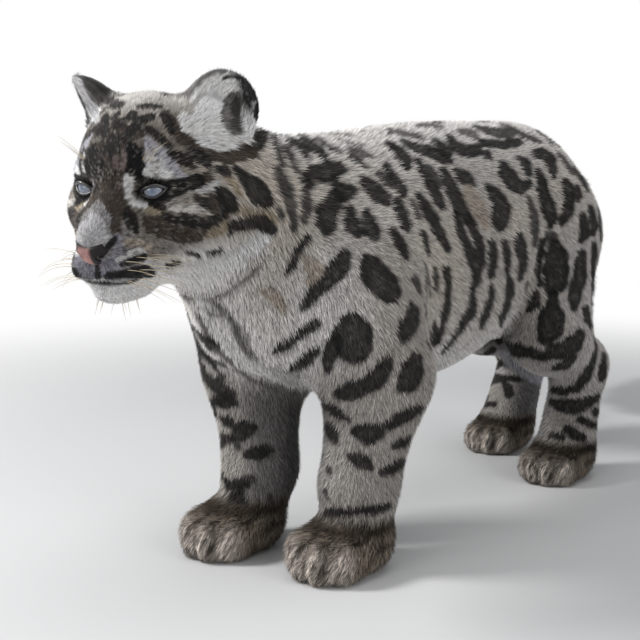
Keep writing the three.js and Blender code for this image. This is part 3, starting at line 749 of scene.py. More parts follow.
# The black chain from x 101 to 113 beside the nose is painted shadow of the nostril's wing
FACE_MARKS_AND_SHADOW = """
white 104 290 16 125 294 18 148 290 14
pale 148 264 10 165 266 14 182 268 18 202 268 20 222 262 20 242 252 20 260 240 18 270 230 10
white 180 272 12 205 272 13 228 264 12 248 252 12 264 240 9
cream 132 100 10 148 95 13 166 96 14 184 98 12
umber 104 150 18 110 165 24 112 180 24 110 196 18 112 210 12
umber 150 222 16 170 226 20 190 230 20 208 230 14
umber 205 180 14 214 200 18 222 214 14
umber 120 128 12 134 136 10 146 132 9
umber 165 116 12 172 130 15 186 142 15 206 152 15 228 156 15 250 153 14
white 206 106 16 218 114 24 234 124 28 246 134 16
slate 147 141 8 152 150 16 158 159 24 166 168 20 176 174 12 183 177 5
white 148 172 8 158 174 10 170 175 8
pale 148 160 8 158 164 12
white 128 179 9 127 188 9 128 196 9 133 203 9 143 206 6
white 184 120 12 190 128 20 204 135 22 220 140 20 231 145 10
cream 205 204 7 186 210 7 170 208 5
pale 200 191 7 209 188 9 215 183 6
tan 150 212 7 162 211 7
tan 226 178 6 232 184 8 238 194 6
tan 232 209 9 243 210 11 254 214 10
tan 208 235 9 217 230 13 225 225 10
tan 262 212 8 272 219 8
umber 150 229 11 166 233 12 184 236 12 200 238 8
grey 163 95 5 174 95 8 185 95 5
char 138 108 5 149 107 8 160 108 6
char 126 140 8 132 131 9 139 124 10 151 118 7
char 149 130 7 157 137 9 168 146 8
char 97 137 6 102 128 8 108 120 6
char 113 120 5 119 114 5
char 115 128 5 122 124 7 127 121 5
char 105 152 6 111 144 8 119 137 7
char 112 149 5 114 158 6
char 88 152 6 92 150 5
black 94 152 8 89 163 11 91 175 12 95 188 8
black 84 150 3 81 162 4 84 176 4
black 101 163 7 101 178 7
black 133 150 14 134 159 17 134 167 14 132 172 6
rose 124 151 3 125 160 4 123 168 3
rose 116 158 3 117 168 3
rose 119 184 4 122 194 4
black 169 154 7 178 158 11 186 162 11 191 167 5
char 188 152 7 197 157 11 205 163 11 208 169 6
umber 182 137 7 192 144 7
char 217 170 7 223 171 10 228 174 6
char 164 118 7 169 126 9 171 134 5
black 164 183 3 172 181 6 180 183 9 188 183 13 196 182 14 202 183 8
black 151 204 5 158 201 6 166 198 7 174 194 7 183 189 7
black 156 207 5 163 208 5
black 126 211 9 129 218 13 132 225 11 136 231 6
umber 118 196 9 121 206 9 116 216 8 114 226 8 116 236 7
char 165 216 7 172 219 8 180 221 7
char 180 216 7 191 221 10 203 223 11 214 220 9 220 215 7
char 197 199 8 203 202 10 206 205 7
char 217 190 11 222 196 18 228 203 18 234 208 10
char 236 170 8 243 178 15 251 187 20 258 196 23 265 202 16
char 228 233 7 232 226 13 243 222 15 255 220 16 264 223 14 271 229 9
grey 187 251 4 193 252 5 199 255 4
char 207 252 4 214 250 6 220 248 4
char 167 265 4 173 262 6 178 261 4
iron 116 240 8 119 250 12 115 260 12 106 266 11 97 268 9
iron 80 262 11 86 270 12 93 273 7
pale 118 260 4 128 255 5 140 251 6
dust 126 243 7 138 242 7 148 246 5
black 110 274 6 122 273 9 134 272 13 144 272 12 151 273 7
black 122 265 5 132 261 6 143 257 4
plate 92 216 9 95 225 17 92 236 30 96 242 20 105 240 10
black 101 255 5 105 250 6 109 245 6 113 240 4
char 97 264 2.5 98 270 3 98 276 3.5
"""
# The ash and grey chains in the left ear's cup, near x 230 to 237, are painted shade in its hollow
EAR_MARKS_AND_SHADE = """
white 200 113 12 208 106 20 218 103 28 226 110 32 236 122 28 247 131 16
white 246 128 12 252 118 10
ash 234 99 13 231 109 21 230 119 22 233 129 11
grey 237 100 5 235 109 10 233 118 13 234 125 9
black 256 96 4 258 106 6 259 117 7 258 128 7 256 136 6
char 223 78 2 231 76 3 240 79 4 247 86 5 252 94 5 253 99 4
grey 73 84 4 77 97 7 83 112 9 88 124 9
plate 75 78 4 81 88 6 87 100 7 94 113 8 98 121 7
grey 88 86 6 98 95 10 108 102 10 116 103 6
"""
NAPE_BEHIND_EAR = """
black 264 116 4 263 130 7 259 143 11 250 150 10 240 149 6
"""

# Waves for uneven edges and tones, with about how high their sum reaches
WAVES_REACH = 3.7
WAVES, PHASES = RNG.normal(size=(3, 14)), RNG.uniform(0, 2 * math.pi, 14)


def wobble(p, size, turn=0.0):
    return np.sin(p @ WAVES / size + PHASES + turn).sum(1) / WAVES_REACH


# The soft edge of the brush takes about so many pixels off a mark
EDGE_PIXELS = 1.7


def compiled(marks, wider=1.08):
    lines = [line.split() for line in marks.split("\n") if line]
    chains = [np.array(line[1:], float).reshape(-1, 3) for line in lines]
    spots, ranges = landing(np.concatenate(chains)[:, :2])
    made, n = [], 0
    for (tint, *_), chain in zip(lines, chains):
        part = slice(n, n + len(chain))
        radii = (chain[:, 2] * wider + EDGE_PIXELS) / 2 * ranges[part] / FOCAL_PIXELS
        sight = unit(spots[part].mean(0)[None] - CAMERA_AT)[0]
        made.append((np.array(TINTS[tint]), spots[part], radii, sight))
        n += len(chain)
    return made


# The same marks on the other side, a little shifted and resized
def opposite(marks, legs=None, head=False):
    made = []
    for tint, spots, radii, sight in marks:
        if head:
            flipped = from_head(to_head(spots) * FLIP + RNG.normal(0, 1.2, 3))
            turned_sight = HEAD_TURN @ ((HEAD_TURN.T @ sight) * FLIP)
        else:
            turned_sight = sight * FLIP
            flipped = spots * FLIP + RNG.normal(0, 8, 3)
            flipped += RNG.normal(0, 2.5, spots.shape)
            if legs:
                flipped += leg_offset(spots[:, 2], legs)
        flipped = settle(skin_field, flipped, 5, 14.0)
        made.append((tint, flipped, radii * RNG.uniform(0.88, 1.18), turned_sight))
    return made


SIDE_MARKS = (
    (NECK_MARKS_AND_PAINTED_LIGHT, 1.15, None), (FLANK_MARKS, 1.08, None), (SHOULDER_MARKS, 1.15, FRONT_LEGS),
    (HAUNCH_MARKS_AND_SHADOW, 1.02, HIND_LEGS), (FRONT_LEG_MARKS, 1.08, FRONT_LEGS),
    (HIND_LEG_MARKS, 1.08, HIND_LEGS),
)
side_marks = [compiled(marks, wider) for marks, wider, _ in SIDE_MARKS]
far_marks = [opposite(marks, legs) for marks, (_, _, legs) in zip(side_marks, SIDE_MARKS)]
face_marks = compiled(FACE_MARKS_AND_SHADOW, 0.98)
BODY_PAINT = sum(far_marks + side_marks, []) + compiled(FAR_SIDE_MARKS) + compiled(NAPE_BEHIND_EAR)
FACE_PAINT = opposite(face_marks, head=True) + face_marks


# Spots of the same kind for the places that the photograph does not show, clear of the others
def scattered(drawn, clear=19.0, spacing=37.0, tries=9000):
    taken = np.concatenate([
        np.concatenate([spots, (spots[1:] + spots[:-1]) / 2]) for _, spots, _, _ in drawn
    ])
    places = points[RNG.permutation(len(points))[:tries]]
    n = unit(gradient(skin_field, places))
    x, y, z = places.T
    wanted = (unit(places - CAMERA_AT) * n).sum(1) > -0.12
    wanted &= (shares(regions(places))["tail"] < 0.35) & (z > 115) & (n[:, 2] > -0.4) & (y > -575)
    wanted &= ~((n[:, 0] * np.sign(x) < -0.25) & (z < 340))
    wanted &= (y > -430) | (n[:, 1] > 0.1)
    made = []
    for at, up in zip(places[wanted], n[wanted]):
        small = 0.62 if at[1] < -430 or at[2] < 300 else 1.0
        room = (clear + 9 * RNG.random()) * (0.6 + 0.4 * small)
        if (norm(taken - at) < room).any():
            continue
        if made and min(np.linalg.norm(m[1].mean(0) - at) for m in made) < spacing * small:
            continue
        along = vec(RNG.normal(0, 0.25), 0.55 + 0.8 * max(up[2], 0), -0.8)
        if at[2] < 300:
            along = vec(1.0, 1.0, RNG.normal(0, 0.3))
        along = along - up * (along @ up)
        along = along / np.linalg.norm(along) * RNG.uniform(7, 12) * small
        spots = np.stack([at - along, at + RNG.normal(0, 2, 3), at + along])
        spots = settle(skin_field, spots, 3, 8.0)
        made.append((np.array(TINTS["char"]), spots, RNG.uniform(5.5, 9.5, 3) * small, -up))
    return made


BODY_PAINT = BODY_PAINT + scattered(BODY_PAINT + FACE_PAINT)
EAR_PAINT = compiled(EAR_MARKS_AND_SHADE, 0.95)

# A mark is as wide across the skin as the photograph shows it, so depth counts for less than breadth
DEPTH_COUNTS = 0.42
BODY_EDGE, FACE_EDGE, EAR_EDGE = 3.0, 1.2, 1.4


def brush(rgb, p, n, marks, edge):
    ragged = wobble(p, 5.0) * 0.8 + wobble(p, 13.0, 2.0) * 1.3
    flecks = wobble(p, 2.6, 4.0)
    for tint, spots, radii, sight in marks:
        centre, reach = spots.mean(0), radii.max() / DEPTH_COUNTS + 6
        reach += norm(spots - centre).max()
        close = np.nonzero(((p - centre) ** 2).sum(1) < reach * reach)[0]
        if not len(close):
            continue
        squeeze = sight[:, None] * sight[None] * (1 - DEPTH_COUNTS)
        here, line = p[close] - p[close] @ squeeze, spots - spots @ squeeze
        chain = [limb(here, line[0], line[0] + 0.01, radii[0], radii[0])]
        for i in range(1, len(line)):
            chain.append(limb(here, line[i - 1], line[i], radii[i - 1], radii[i]))
        d = np.min(chain, axis=0) + ragged[close] * min(1.0, radii.mean() / 7)
        facing = smooth(-n[close] @ sight, -0.3, 0.1)
        worn = 0.03 * smooth(-d, 5, 12) + 0.08 * smooth(flecks[close], 0.3, 1.0)
        amount = ((1 - smooth(d, -edge * 0.7, edge * 0.7)) * facing * (0.97 - worn))[:, None]
        rgb[close] = rgb[close] * (1 - amount) + tint * amount


# Tints laid over a tone, each with its amount from place to place
def layered(rgb, *layers):
    for tint, amount in layers:
        amount = np.clip(amount, 0, 1)[:, None]
        rgb = rgb * (1 - amount) + np.array(tint) * amount
    return rgb


PAW_BROWN, PAW_DARK = (0.26, 0.215, 0.17), (0.05, 0.038, 0.028)
TOE_PALE, PAW_STREAK = (0.66, 0.585, 0.52), (0.034, 0.026, 0.02)


def paw_tone(rgb, p, legs, scale):
    for joints in legs.values():
        q = (p - joints[3]) / scale
        x, y, z = q.T
        foot = ((np.abs(x) < 75) & (np.abs(y) < 95)) * (1 - smooth(z, 58, 74))
        toe = foot * smooth(-y, 22, 60) * (1 - smooth(z, 34, 52))
        gap = np.min([np.abs(x - middle) for middle in (-25, 0, 25)], axis=0)
        streak = smooth(wobble(q * vec(1, 0.3, 0.3), 2.0), 0.0, 0.9)
        rgb = layered(
            rgb, (PAW_BROWN, foot), (PAW_DARK, foot * smooth(z, 40, 56) * smooth(-y, -62, -20)),
            (TOE_PALE, toe * 0.9), (PAW_DARK, foot * hump(gap, 4.0) * smooth(-y, 30, 50) * 0.7),
            (PAW_STREAK, foot * streak * 0.72),
        )
    return rgb


def tail_place(p):
    best, where = np.full(len(p), 1e9), np.zeros(len(p))
    travelled = 0.0
    for a, b in zip(TAIL[:-1], TAIL[1:]):
        axis = b - a
        length = np.linalg.norm(axis)
        t = np.clip((p - a) @ axis / length**2, 0, 1)
        d = norm(p - a - t[:, None] * axis)
        closer = d < best
        best[closer], where[closer] = d[closer], (travelled + t * length)[closer]
        travelled += length
    return where, travelled


def body_tone(p, n, share, warm):
    body = vec(0.53, 0.49, 0.445) * (1 + warm * vec(0.06, 0.045, 0.02))
    front = smooth(-n[:, 1], 0.25, 0.9) * smooth(-p[:, 1], 230, 320)
    # Upward-facing fur is painted lighter: painted light from above
    return layered(
        body, ((0.83, 0.8, 0.77), smooth(n[:, 2], 0.35, 0.97) * 0.9),
        ((0.8, 0.775, 0.75), smooth(-n[:, 2], 0.15, 0.8)), ((0.78, 0.75, 0.73), front),
    )


def leg_tone(p, n, warm):
    # The inner sides of the legs are painted darker, and more so high on the front legs: painted shade
    # between the legs
    inner_shade = smooth(-n[:, 0] * np.sign(p[:, 0]), 0.2, 0.8) * (p[:, 2] < 360)
    deep = inner_shade * (p[:, 1] < -150) * smooth(p[:, 2], 150, 230)
    leg = layered(
        vec(0.4, 0.374, 0.345) * (1 + warm * 0.05),
        ((0.54, 0.51, 0.485), smooth(p[:, 1], 120, 220) * smooth(p[:, 2], 90, 150)),
        ((0.13, 0.126, 0.13), inner_shade * 0.8), ((0.036, 0.033, 0.031), deep * 0.8),
    )
    return paw_tone(paw_tone(leg, p, FRONT_LEGS, 1.0), p, HIND_LEGS, HIND_PAW_SCALE)


def tail_tone(p):
    along, full = tail_place(p)
    bands = smooth(np.sin(along / 21.0 + wobble(p, 30.0) * 0.5), 0.05, 0.6)
    return layered(
        vec(0.36, 0.34, 0.31), (TINTS["char"], bands * 0.85 * smooth(along, 60, 140)),
        (TINTS["char"], smooth(along, full - 70, full - 40) * 0.9),
    )


def head_tone(q, warm):
    x, y, z = q.T
    brow = smooth(z, -6, 14) * (1 - smooth(z, 34, 60)) * (1 - smooth(y, 30, 60))
    return layered(
        vec(0.215, 0.19, 0.165) * (1 + warm * 0.1),
        ((0.12, 0.1, 0.086), brow * 0.8), ((0.5, 0.47, 0.44), smooth(z, 58, 84)),
        ((0.9, 0.89, 0.89), smooth(-z + 0.25 * np.abs(x), 80, 100)),
        ((0.27, 0.265, 0.27), smooth(-y, 30, 55) * 0.8),
    )


# Markings with painted shadow beside the nose, mottling, lips and eye corners on the skin of the face
def face_tone(skin, p, n, on_head):
    brush(skin, p, n, FACE_PAINT, FACE_EDGE)
    q = to_head(p)
    x, y, z = q.T
    along_hair = q * vec(1, 0.45, 1)
    cheek = on_head * (1 - smooth(-z, 62, 80))
    bridge = smooth(-y, 18, 34) * (np.abs(x) < 20) * (z < -4) * (z > -54)
    calm = 1 - 0.75 * bridge - 0.5 * smooth(z, 26, 44)
    skin = layered(
        skin, ((0.02, 0.017, 0.015), cheek * calm * smooth(wobble(along_hair, 1.7, 5.0), 0.25, 1.1) * 0.62),
        ((0.42, 0.385, 0.36), cheek * calm * smooth(wobble(along_hair, 1.2, 6.0), 0.5, 1.3) * 0.42),
    )
    fair = smooth(skin.mean(1), 0.25, 0.5)[:, None]
    skin = skin * (1 + (0.22 - 0.16 * fair) * wobble(p, 1.3, 3.0)[:, None] * on_head[:, None])
    m = mirrored(q)
    angle, rise = mouth_line(m)
    lip = (1 - smooth(np.abs(rise + 0.2), 1.6, 3.4)) * (1 - smooth(angle, 0.95, 1.15)) * (m[:, 1] < 16)
    e = to_eye(m)
    # Black round the eye opening, darker still at the inner corner
    rim = (1 - smooth(almond(e), 3.6, 7.2)) * (norm(e) < 26)
    inner_corner_dark = hump(norm(e - vec(-14, -11, -3)), 7.5)
    return layered(skin, ((0.022, 0.018, 0.018), lip * 0.85), (TINTS["black"], np.maximum(rim, inner_corner_dark)))


# The left ear shows its pale cup with painted shade in its hollow, the right one a dark back, a grey cup with
# painted shade in its hollow and a pale edge
def ear_tone(q, p, side):
    e = to_ear(q, side)
    x, y, z = e.T
    inside = (1 - smooth(ellipsoid(e, *EAR_CUP), 2.0, 5.0))[:, None]
    edge = np.sqrt((x / 43) ** 2 + ((z - 14) / 49) ** 2) + 0.03 * wobble(p, 2.0)
    rim = layered(
        vec(0.2, 0.19, 0.185), ((0.022, 0.02, 0.02), smooth(y, 8, 20)),
        ((0.26, 0.25, 0.24), hump(norm(e - vec(0, 30, 34)), 15) * 0.7),
        ((0.012, 0.011, 0.011), smooth(x * SIDES[side], 20, 34) * (1 - smooth(z, 22, 44))),
        ((0.22, 0.215, 0.21), smooth(z, 44, 58) * 0.85),
    )
    if side == "left":
        # Painted shade in the hollow of the cup
        hollow = hump(x - 13 - 0.15 * z, 9) * smooth(z, -4, 14) * (1 - smooth(z, 34, 48))
        seam = hump(edge - 0.74, 0.09) * smooth(x, -4, 14) * smooth(z, 20, 34)
        dark_side = smooth(x + 2.6 * wobble(p, 2.0), 31, 36) * (1 - smooth(z, 42, 56))
        cup = layered(
            vec(0.86, 0.85, 0.84), ((0.05, 0.047, 0.045), hollow * 0.92), ((0.016, 0.015, 0.015), seam),
            ((0.19, 0.185, 0.18), smooth(edge, 0.82, 0.92) * smooth(z, 20, 34)),
            ((0.014, 0.013, 0.013), dark_side),
        )
        rim = layered(rim, ((0.8, 0.785, 0.77), (1 - smooth(y, -8, 4)) * (1 - smooth(z, 2, 16))))
    else:
        cup = layered(
            # Grey cup with painted shade in its hollow, paler along its inner edge
            vec(0.2, 0.195, 0.19), ((0.03, 0.028, 0.027), hump(x - 4, 11)),
            ((0.66, 0.65, 0.64), smooth(x, 8, 16)),
        )
    streaks = 1 + 0.1 * wobble(e * vec(1, 1, 0.25), 0.9, 1.0)[:, None]
    return cup * streaks * inside + rim * streaks * (1 - inside)


def paint(p, n, share, ears):
    warm, q = wobble(p, 45.0, 1.0)[:, None], to_head(p)
    rgb = (
        head_tone(q, warm) * share["head"][:, None]
        + body_tone(p, n, share, warm) * (share["neck"] + share["torso"])[:, None]
        + leg_tone(p, n, warm) * of_legs(share)[:, None] + tail_tone(p) * share["tail"][:, None]
    )
    brush(rgb, p, n, BODY_PAINT, BODY_EDGE)
    face = np.nonzero(p[:, 1] < -370)[0]
    rgb[face] = face_tone(rgb[face], p[face], n[face], share["head"][face])
    for side, weight in ears.items():
        rgb = rgb * (1 - weight[:, None]) + ear_tone(q, p, side) * weight[:, None]
    skin = rgb[face]
    brush(skin, p[face], n[face], EAR_PAINT, EAR_EDGE)
    rgb[face] = skin
    return rgb


def ear_weights(p):
    q = to_head(p)
    close = p[:, 1] < -380
    made = {}
    for side in EARS:
        made[side] = np.zeros(len(p))
        made[side][close] = 1 - smooth(ear_field(q[close], side), 0.5, 5.0)
    return made


# Which way the hair lies
def combed(p, n, share, ears):
    q = to_head(p)
    face = unit(q - vec(0, -80, -56))
    face[:, 2] -= 0.35 * smooth(-q[:, 2], 10, 60)
    flow = face @ HEAD_TURN.T * share["head"][:, None]
    slope = 1 - smooth(n[:, 2], 0.2, 0.9)
    torso = np.stack([np.zeros(len(p)), np.ones(len(p)), -slope], 1)
    fore = (smooth(-p[:, 1], 240, 320) * (1 - smooth(n[:, 2], -0.1, 0.4)))[:, None]
    neck = torso * (1 - fore) + vec(0, 0.15, -1) * fore
    flow += torso * share["torso"][:, None] + neck * share["neck"][:, None]
    paw = (1 - smooth(p[:, 2], 55, 85))[:, None]
    down = vec(0, 0.12, -1) * (1 - paw) + vec(0, -0.8, -0.7) * paw
    for leg in LEGS:
        flow += down * share[leg][:, None]
    middle = np.argmin(((p[:, None] - (TAIL[None, :-1] + TAIL[None, 1:]) / 2) ** 2).sum(2), 1)
    flow += unit(TAIL[1:] - TAIL[:-1])[middle] * share["tail"][:, None]
    for side, weight in ears.items():
        upward = HEAD_TURN @ EARS[side][1] @ vec(0, 0.15, 1)
        flow = flow * (1 - weight[:, None]) + upward * weight[:, None]
    flow -= n * (flow * n).sum(1)[:, None]
    return unit(flow)


def nose_outline(m):
    x, z = m[:, 0], m[:, 2]
    side = (8 * (x - 15) + 3 * (z + 49)) / 8.54
    lower = (16 * (x - 18) - 15 * (z + 57)) / 21.9
    block = np.maximum(np.maximum(z + 51.5 - 0.3 * x, -(z + 73)), np.maximum(side, lower))
    return np.maximum(block, m[:, 1] + 59)


def bare_places(p):
    m = mirrored(to_head(p))
    e = to_eye(m)
    eye = (almond(e) < 2.2) & (norm(e) < 24)
    angle, rise = mouth_line(m)
    mouth = (np.abs(rise) < 2.6) & (angle < MOUTH_CORNER) & (m[:, 1] < 16)
    return (p[:, 1] < -420) & (eye | mouth | (nose_outline(m) < 0.8))


# Skin mesh with its markings, darker than the hair over it: painted shade under the coat
SKIN_SHADE = 0.6
skin_normals = unit(gradient(skin_field, points))
skin_shares = shares(regions(points))
skin_ears = ear_weights(points)
skin_colours = paint(points, skin_normals, skin_shares, skin_ears)
skin = mesh_object("skin", points, quads, skin_colours * SKIN_SHADE)

# Roots of the tufts, spread over the skin
TUFTS = 345000
DENSITY = dict(face=0.95, crown=0.52, neck=0.24, torso=0.22, leg=0.24, paw=0.42, tail=0.1)
LENGTHS = dict(face=3.6, crown=5.5, neck=8.5, torso=8.5, leg=7.5, paw=11, tail=20)
EAR_DENSITY, EAR_LENGTH, EAR_DEPTH = 0.42, 6.5, 1.8
corners = points[quads]
ways = [corners[:, k] - corners[:, 0] for k in (1, 2, 3)]
crosses = [norm(np.cross(a, b)) for a, b in zip(ways[:2], ways[1:])]
face_share = {name: skin_shares[name][quads].mean(1) for name in NAMES}
ear_share = (skin_ears["left"] + skin_ears["right"])[quads].mean(1)
density = by_region(corners.mean(1), face_share, **DENSITY) * (1 - ear_share) + EAR_DENSITY * ear_share
density[corners[:, :, 2].max(1) < SOLE + 0.6] = 0
chance = (crosses[0] + crosses[1]) / 2 * density
picked = np.searchsorted(np.cumsum(chance) / chance.sum(), RNG.random(TUFTS))
picked = np.minimum(picked, len(quads) - 1)
a, b = RNG.random((2, TUFTS, 1))
edge_one = corners[picked, 0] * (1 - a) + corners[picked, 1] * a
edge_two = corners[picked, 3] * (1 - a) + corners[picked, 2] * a
roots = edge_one * (1 - b) + edge_two * b
roots = roots[~bare_places(roots)]
count = len(roots)

# Tufts: wedges that lie along the coat, with the tip at the coat's own height
BEND = 0.55
TUFT_FACES = np.array([(0, 3, 1), (0, 2, 3), (1, 3, 2), (0, 1, 2)])
normals = unit(gradient(skin_field, roots))
root_shares = shares(regions(roots))
root_ears = ear_weights(roots)
on_ear = root_ears["left"] + root_ears["right"]
paw_hair = 1 - smooth(roots[:, 2], 50, 75)
lie = combed(roots, normals, root_shares, root_ears)
lie = unit(lie + np.cross(normals, lie) * RNG.normal(0, 0.16, (count, 1)))
length = by_region(roots, root_shares, **LENGTHS) * (1 - on_ear) + EAR_LENGTH * on_ear
length = length * RNG.uniform(0.75, 1.25, count)
depth = by_region(roots, root_shares, **DEPTHS) * (1 - on_ear) + EAR_DEPTH * on_ear
lift = depth * RNG.uniform(0.45, 1.05 + 0.8 * paw_hair)
tips = roots + lie * length[:, None] * 0.97
for _ in range(2):
    tips += normals * (lift - skin_field(tips))[:, None]
width = np.clip(length * 0.16, 0.7, 2.6) * RNG.uniform(0.7, 1.2, count)
side = np.cross(lie, normals)
base = roots - normals * np.minimum(0.8, depth * 0.3)[:, None]
for low_points in (tips, base):
    low_points[:, 2] = np.maximum(low_points[:, 2], 0.3)
half = side * width[:, None] / 2
ridge = base + normals * (width * 0.45)[:, None]
vertices = np.stack([base - half, base + half, ridge, tips], 1)
bent = [normals - side * BEND, normals + side * BEND]
shaded = np.stack([unit(bent[0]), unit(bent[1]), normals, unit(normals + lie * 0.2)], 1)

# Each tuft takes the marking at about its middle, so that edges are a little ragged along the hair.
# Some strands are darker or lighter than the rest: their share, and by how much.
DARK_SHARE, DARKER, LIGHT_SHARE, LIGHTER = 0.16, 0.42, 0.13, 1.28
sampled = roots + lie * (length * RNG.uniform(0.15, 0.65, count))[:, None]
tone = paint(sampled, normals, root_shares, root_ears)
fair = smooth(tone.mean(1), 0.3, 0.55) * np.maximum(root_shares["head"], on_ear)
strand = 1 + RNG.normal(0, 0.16, count) * (1 - 0.75 * fair)
draw = RNG.random(count) * (1 - fair) + 0.5 * fair
strand *= np.where(draw < DARK_SHARE, DARKER, np.where(draw > 1 - LIGHT_SHARE, LIGHTER, 1.0))
strand *= 1 + paw_hair * RNG.uniform(-0.55, 0.45, count)
tone = tone * strand[:, None]
# Darker at the root and the ridge, partly the hair's own dark roots and partly painted shade between the
# tufts; lighter at the tip
foot_tone_with_shade, ridge_tone_with_shade = tone * (0.45 + 0.5 * fair)[:, None], tone * (0.74 + 0.26 * fair)[:, None]
colours = np.stack([foot_tone_with_shade, foot_tone_with_shade, ridge_tone_with_shade, tone * (1.22 - 0.17 * fair)[:, None]], 1)


# The coat is parted into pieces, each with its own unwrap of the skin under it
def turn_of(sideways, ahead):
    return np.arctan2(sideways, ahead) / (2 * math.pi) + 0.5


def unwrap_trunk(p):
    angle = np.arctan2(np.abs(p[:, 0]), p[:, 2] - 385) / math.pi
    return (p[:, 1] + 470) / 960, angle


def unwrap_head(p):
    q = to_head(p) - vec(0, 50, -10)
    away = np.arccos(np.clip(-q[:, 1] / (norm(q) + 1e-9), -1, 1)) / math.pi
    spin = np.arctan2(q[:, 2], q[:, 0])
    return 0.5 + 0.49 * away * np.cos(spin), 0.5 + 0.49 * away * np.sin(spin)


def unwrap_ear(side):
    def unwrap(p):
        e = to_ear(to_head(p), side)
        return turn_of(e[:, 0], -(e[:, 1] - 6)), (e[:, 2] + 30) / 110
    return unwrap


def unwrap_leg(joints):
    x_line, y_line, z_line = np.array(joints[::-1]).T

    def unwrap(p):
        x, y = (np.interp(p[:, 2], z_line, line) for line in (x_line, y_line))
        return turn_of(p[:, 0] - x, -(p[:, 1] - y)), p[:, 2] / 520
    return unwrap


def unwrap_tail(p):
    along, full = tail_place(p)
    stops = np.linspace(0, full, len(TAIL))
    d = p - np.stack([np.interp(along, stops, TAIL[:, a]) for a in range(3)], 1)
    return along / full, turn_of(d[:, 0], d[:, 2])


label = np.argmax(np.stack([root_shares[name] for name in NAMES]), 0)
furry = on_ear < 0.5
muzzle = to_head(roots)[:, 1] < 35
of_face, of_body, fore = to_head(roots)[:, 0] > 0, roots[:, 0] > 0, roots[:, 1] < -20
FACE_SIDES = ("left", of_face), ("right", ~of_face)
BODY_SIDES = ("left", of_body), ("right", ~of_body)
on_head, trunk = (label == 0) & furry, ((label == 1) | (label == 2)) & furry
PIECES = {"coat_face_" + side: (on_head & muzzle & on_side, unwrap_head) for side, on_side in FACE_SIDES}
PIECES["coat_crown"] = on_head & ~muzzle, unwrap_head
for side in EARS:
    PIECES["coat_ear_" + side] = root_ears[side] >= 0.5, unwrap_ear(side)
for end, at_end in (("front_", fore), ("rear_", ~fore)):
    for side, on_side in BODY_SIDES:
        PIECES["coat_trunk_" + end + side] = trunk & on_side & at_end, unwrap_trunk
for leg, joints in zip(LEGS, (*FRONT_LEGS.values(), *HIND_LEGS.values())):
    PIECES["coat_" + leg] = (label == NAMES.index(leg)) & furry, unwrap_leg(joints)
PIECES["coat_tail"] = (label == NAMES.index("tail")) & furry, unwrap_tail
PATCH = 0.0015
PATCH_CORNERS = np.array([(-PATCH, -PATCH), (PATCH, -PATCH), (0, -PATCH * 0.3), (0, PATCH)])
coats = []
for name, (members, unwrap) in PIECES.items():
    u, v = unwrap(roots[members])
    uv = np.clip(np.stack([u, v], 1), 0.003, 0.997)[:, None] + PATCH_CORNERS
    faces = (TUFT_FACES + 4 * np.arange(len(u))[:, None, None]).reshape(-1, 3)
    coats.append(mesh_object(
        name, vertices[members].reshape(-1, 3), faces, colours[members].reshape(-1, 3),
        shaded[members].reshape(-1, 3), uv.reshape(-1, 2),
    ))


# Materials
def material(name):
    made = bpy.data.materials.new(name)
    made.use_nodes = True
    return made, made.node_tree.nodes, made.node_tree.links, made.node_tree.nodes["Principled BSDF"]


def set_sockets(node, **values):
    for name, value in values.items():
        node.inputs[name.replace("_", " ")].default_value = value


def add(nodes, *kinds):
    return [nodes.new("ShaderNode" + kind) for kind in kinds]


# Wires from a node's output to a node's input
def wire(links, *wires):
    for source, output, target, into in wires:
        links.new(source.outputs[output], target.inputs[into])


# A ramp between two tones over noise, with a bump of the same grain where it is asked for
def grained(nodes, links, shader, scale, detail, stops, tones, strength, bumpy):
    place, texture, ramp = add(nodes, "TexCoord", "TexNoise", "ValToRGB")
    set_sockets(texture, Scale=scale, Detail=detail)
    wire(links, (place, "Object", texture, "Vector"), (texture, "Fac", ramp, "Fac"))
    for stop, position, tone in zip(ramp.color_ramp.elements, stops, tones):
        stop.position, stop.color = position, (*tone, 1)
    if bumpy:
        bump, = add(nodes, "Bump")
        set_sockets(bump, Strength=strength, Distance=bumpy)
        wire(links, (texture, "Fac", bump, "Height"), (bump, "Normal", shader, "Normal"))
    return ramp


# The colours of the points, with a fine grain over them
def painted(name, roughness, scale, spread, sheen=0.0, bumpy=0.0):
    made, nodes, links, shader = material(name)
    attribute, product = add(nodes, "Attribute", "Mix")
    attribute.attribute_name = "coat"
    tones = (1 - spread,) * 3, (1, 1, 1)
    grain = grained(nodes, links, shader, scale, 2.0, (0.3, 0.7), tones, 0.6, bumpy)
    product.data_type, product.blend_type = "RGBA", "MULTIPLY"
    product.inputs["Factor"].default_value = 1.0
    wire(
        links, (attribute, "Color", product, "A"), (grain, "Color", product, "B"),
        (product, "Result", shader, "Base Color"),
    )
    set_sockets(shader, Roughness=roughness, Sheen_Weight=sheen, Sheen_Roughness=0.4, Specular_IOR_Level=0.14)
    return made


def toned(name, dark, light, scale, roughness, bumpy=0.0, coat=0.0):
    made, nodes, links, shader = material(name)
    grain = grained(nodes, links, shader, scale, 4.0, (0.35, 0.65), (dark, light), 0.5, bumpy)
    wire(links, (grain, "Color", shader, "Base Color"))
    set_sockets(shader, Roughness=roughness, Coat_Weight=coat, Coat_Roughness=0.15)
    return made


COAT = painted("coat", 0.78, 260.0, 0.16, sheen=0.03)
SKIN = painted("skin", 0.85, 420.0, 0.35, bumpy=0.0012)
for piece in coats:
    piece.data.materials.append(COAT)
skin.data.materials.append(SKIN)

# Eyes: a ball with a milky iris under a clear bulge
IRIS_RADIUS, BULGE, EYE_RINGS, EYE_SIDES = 9.6, 1.1, 44, 56


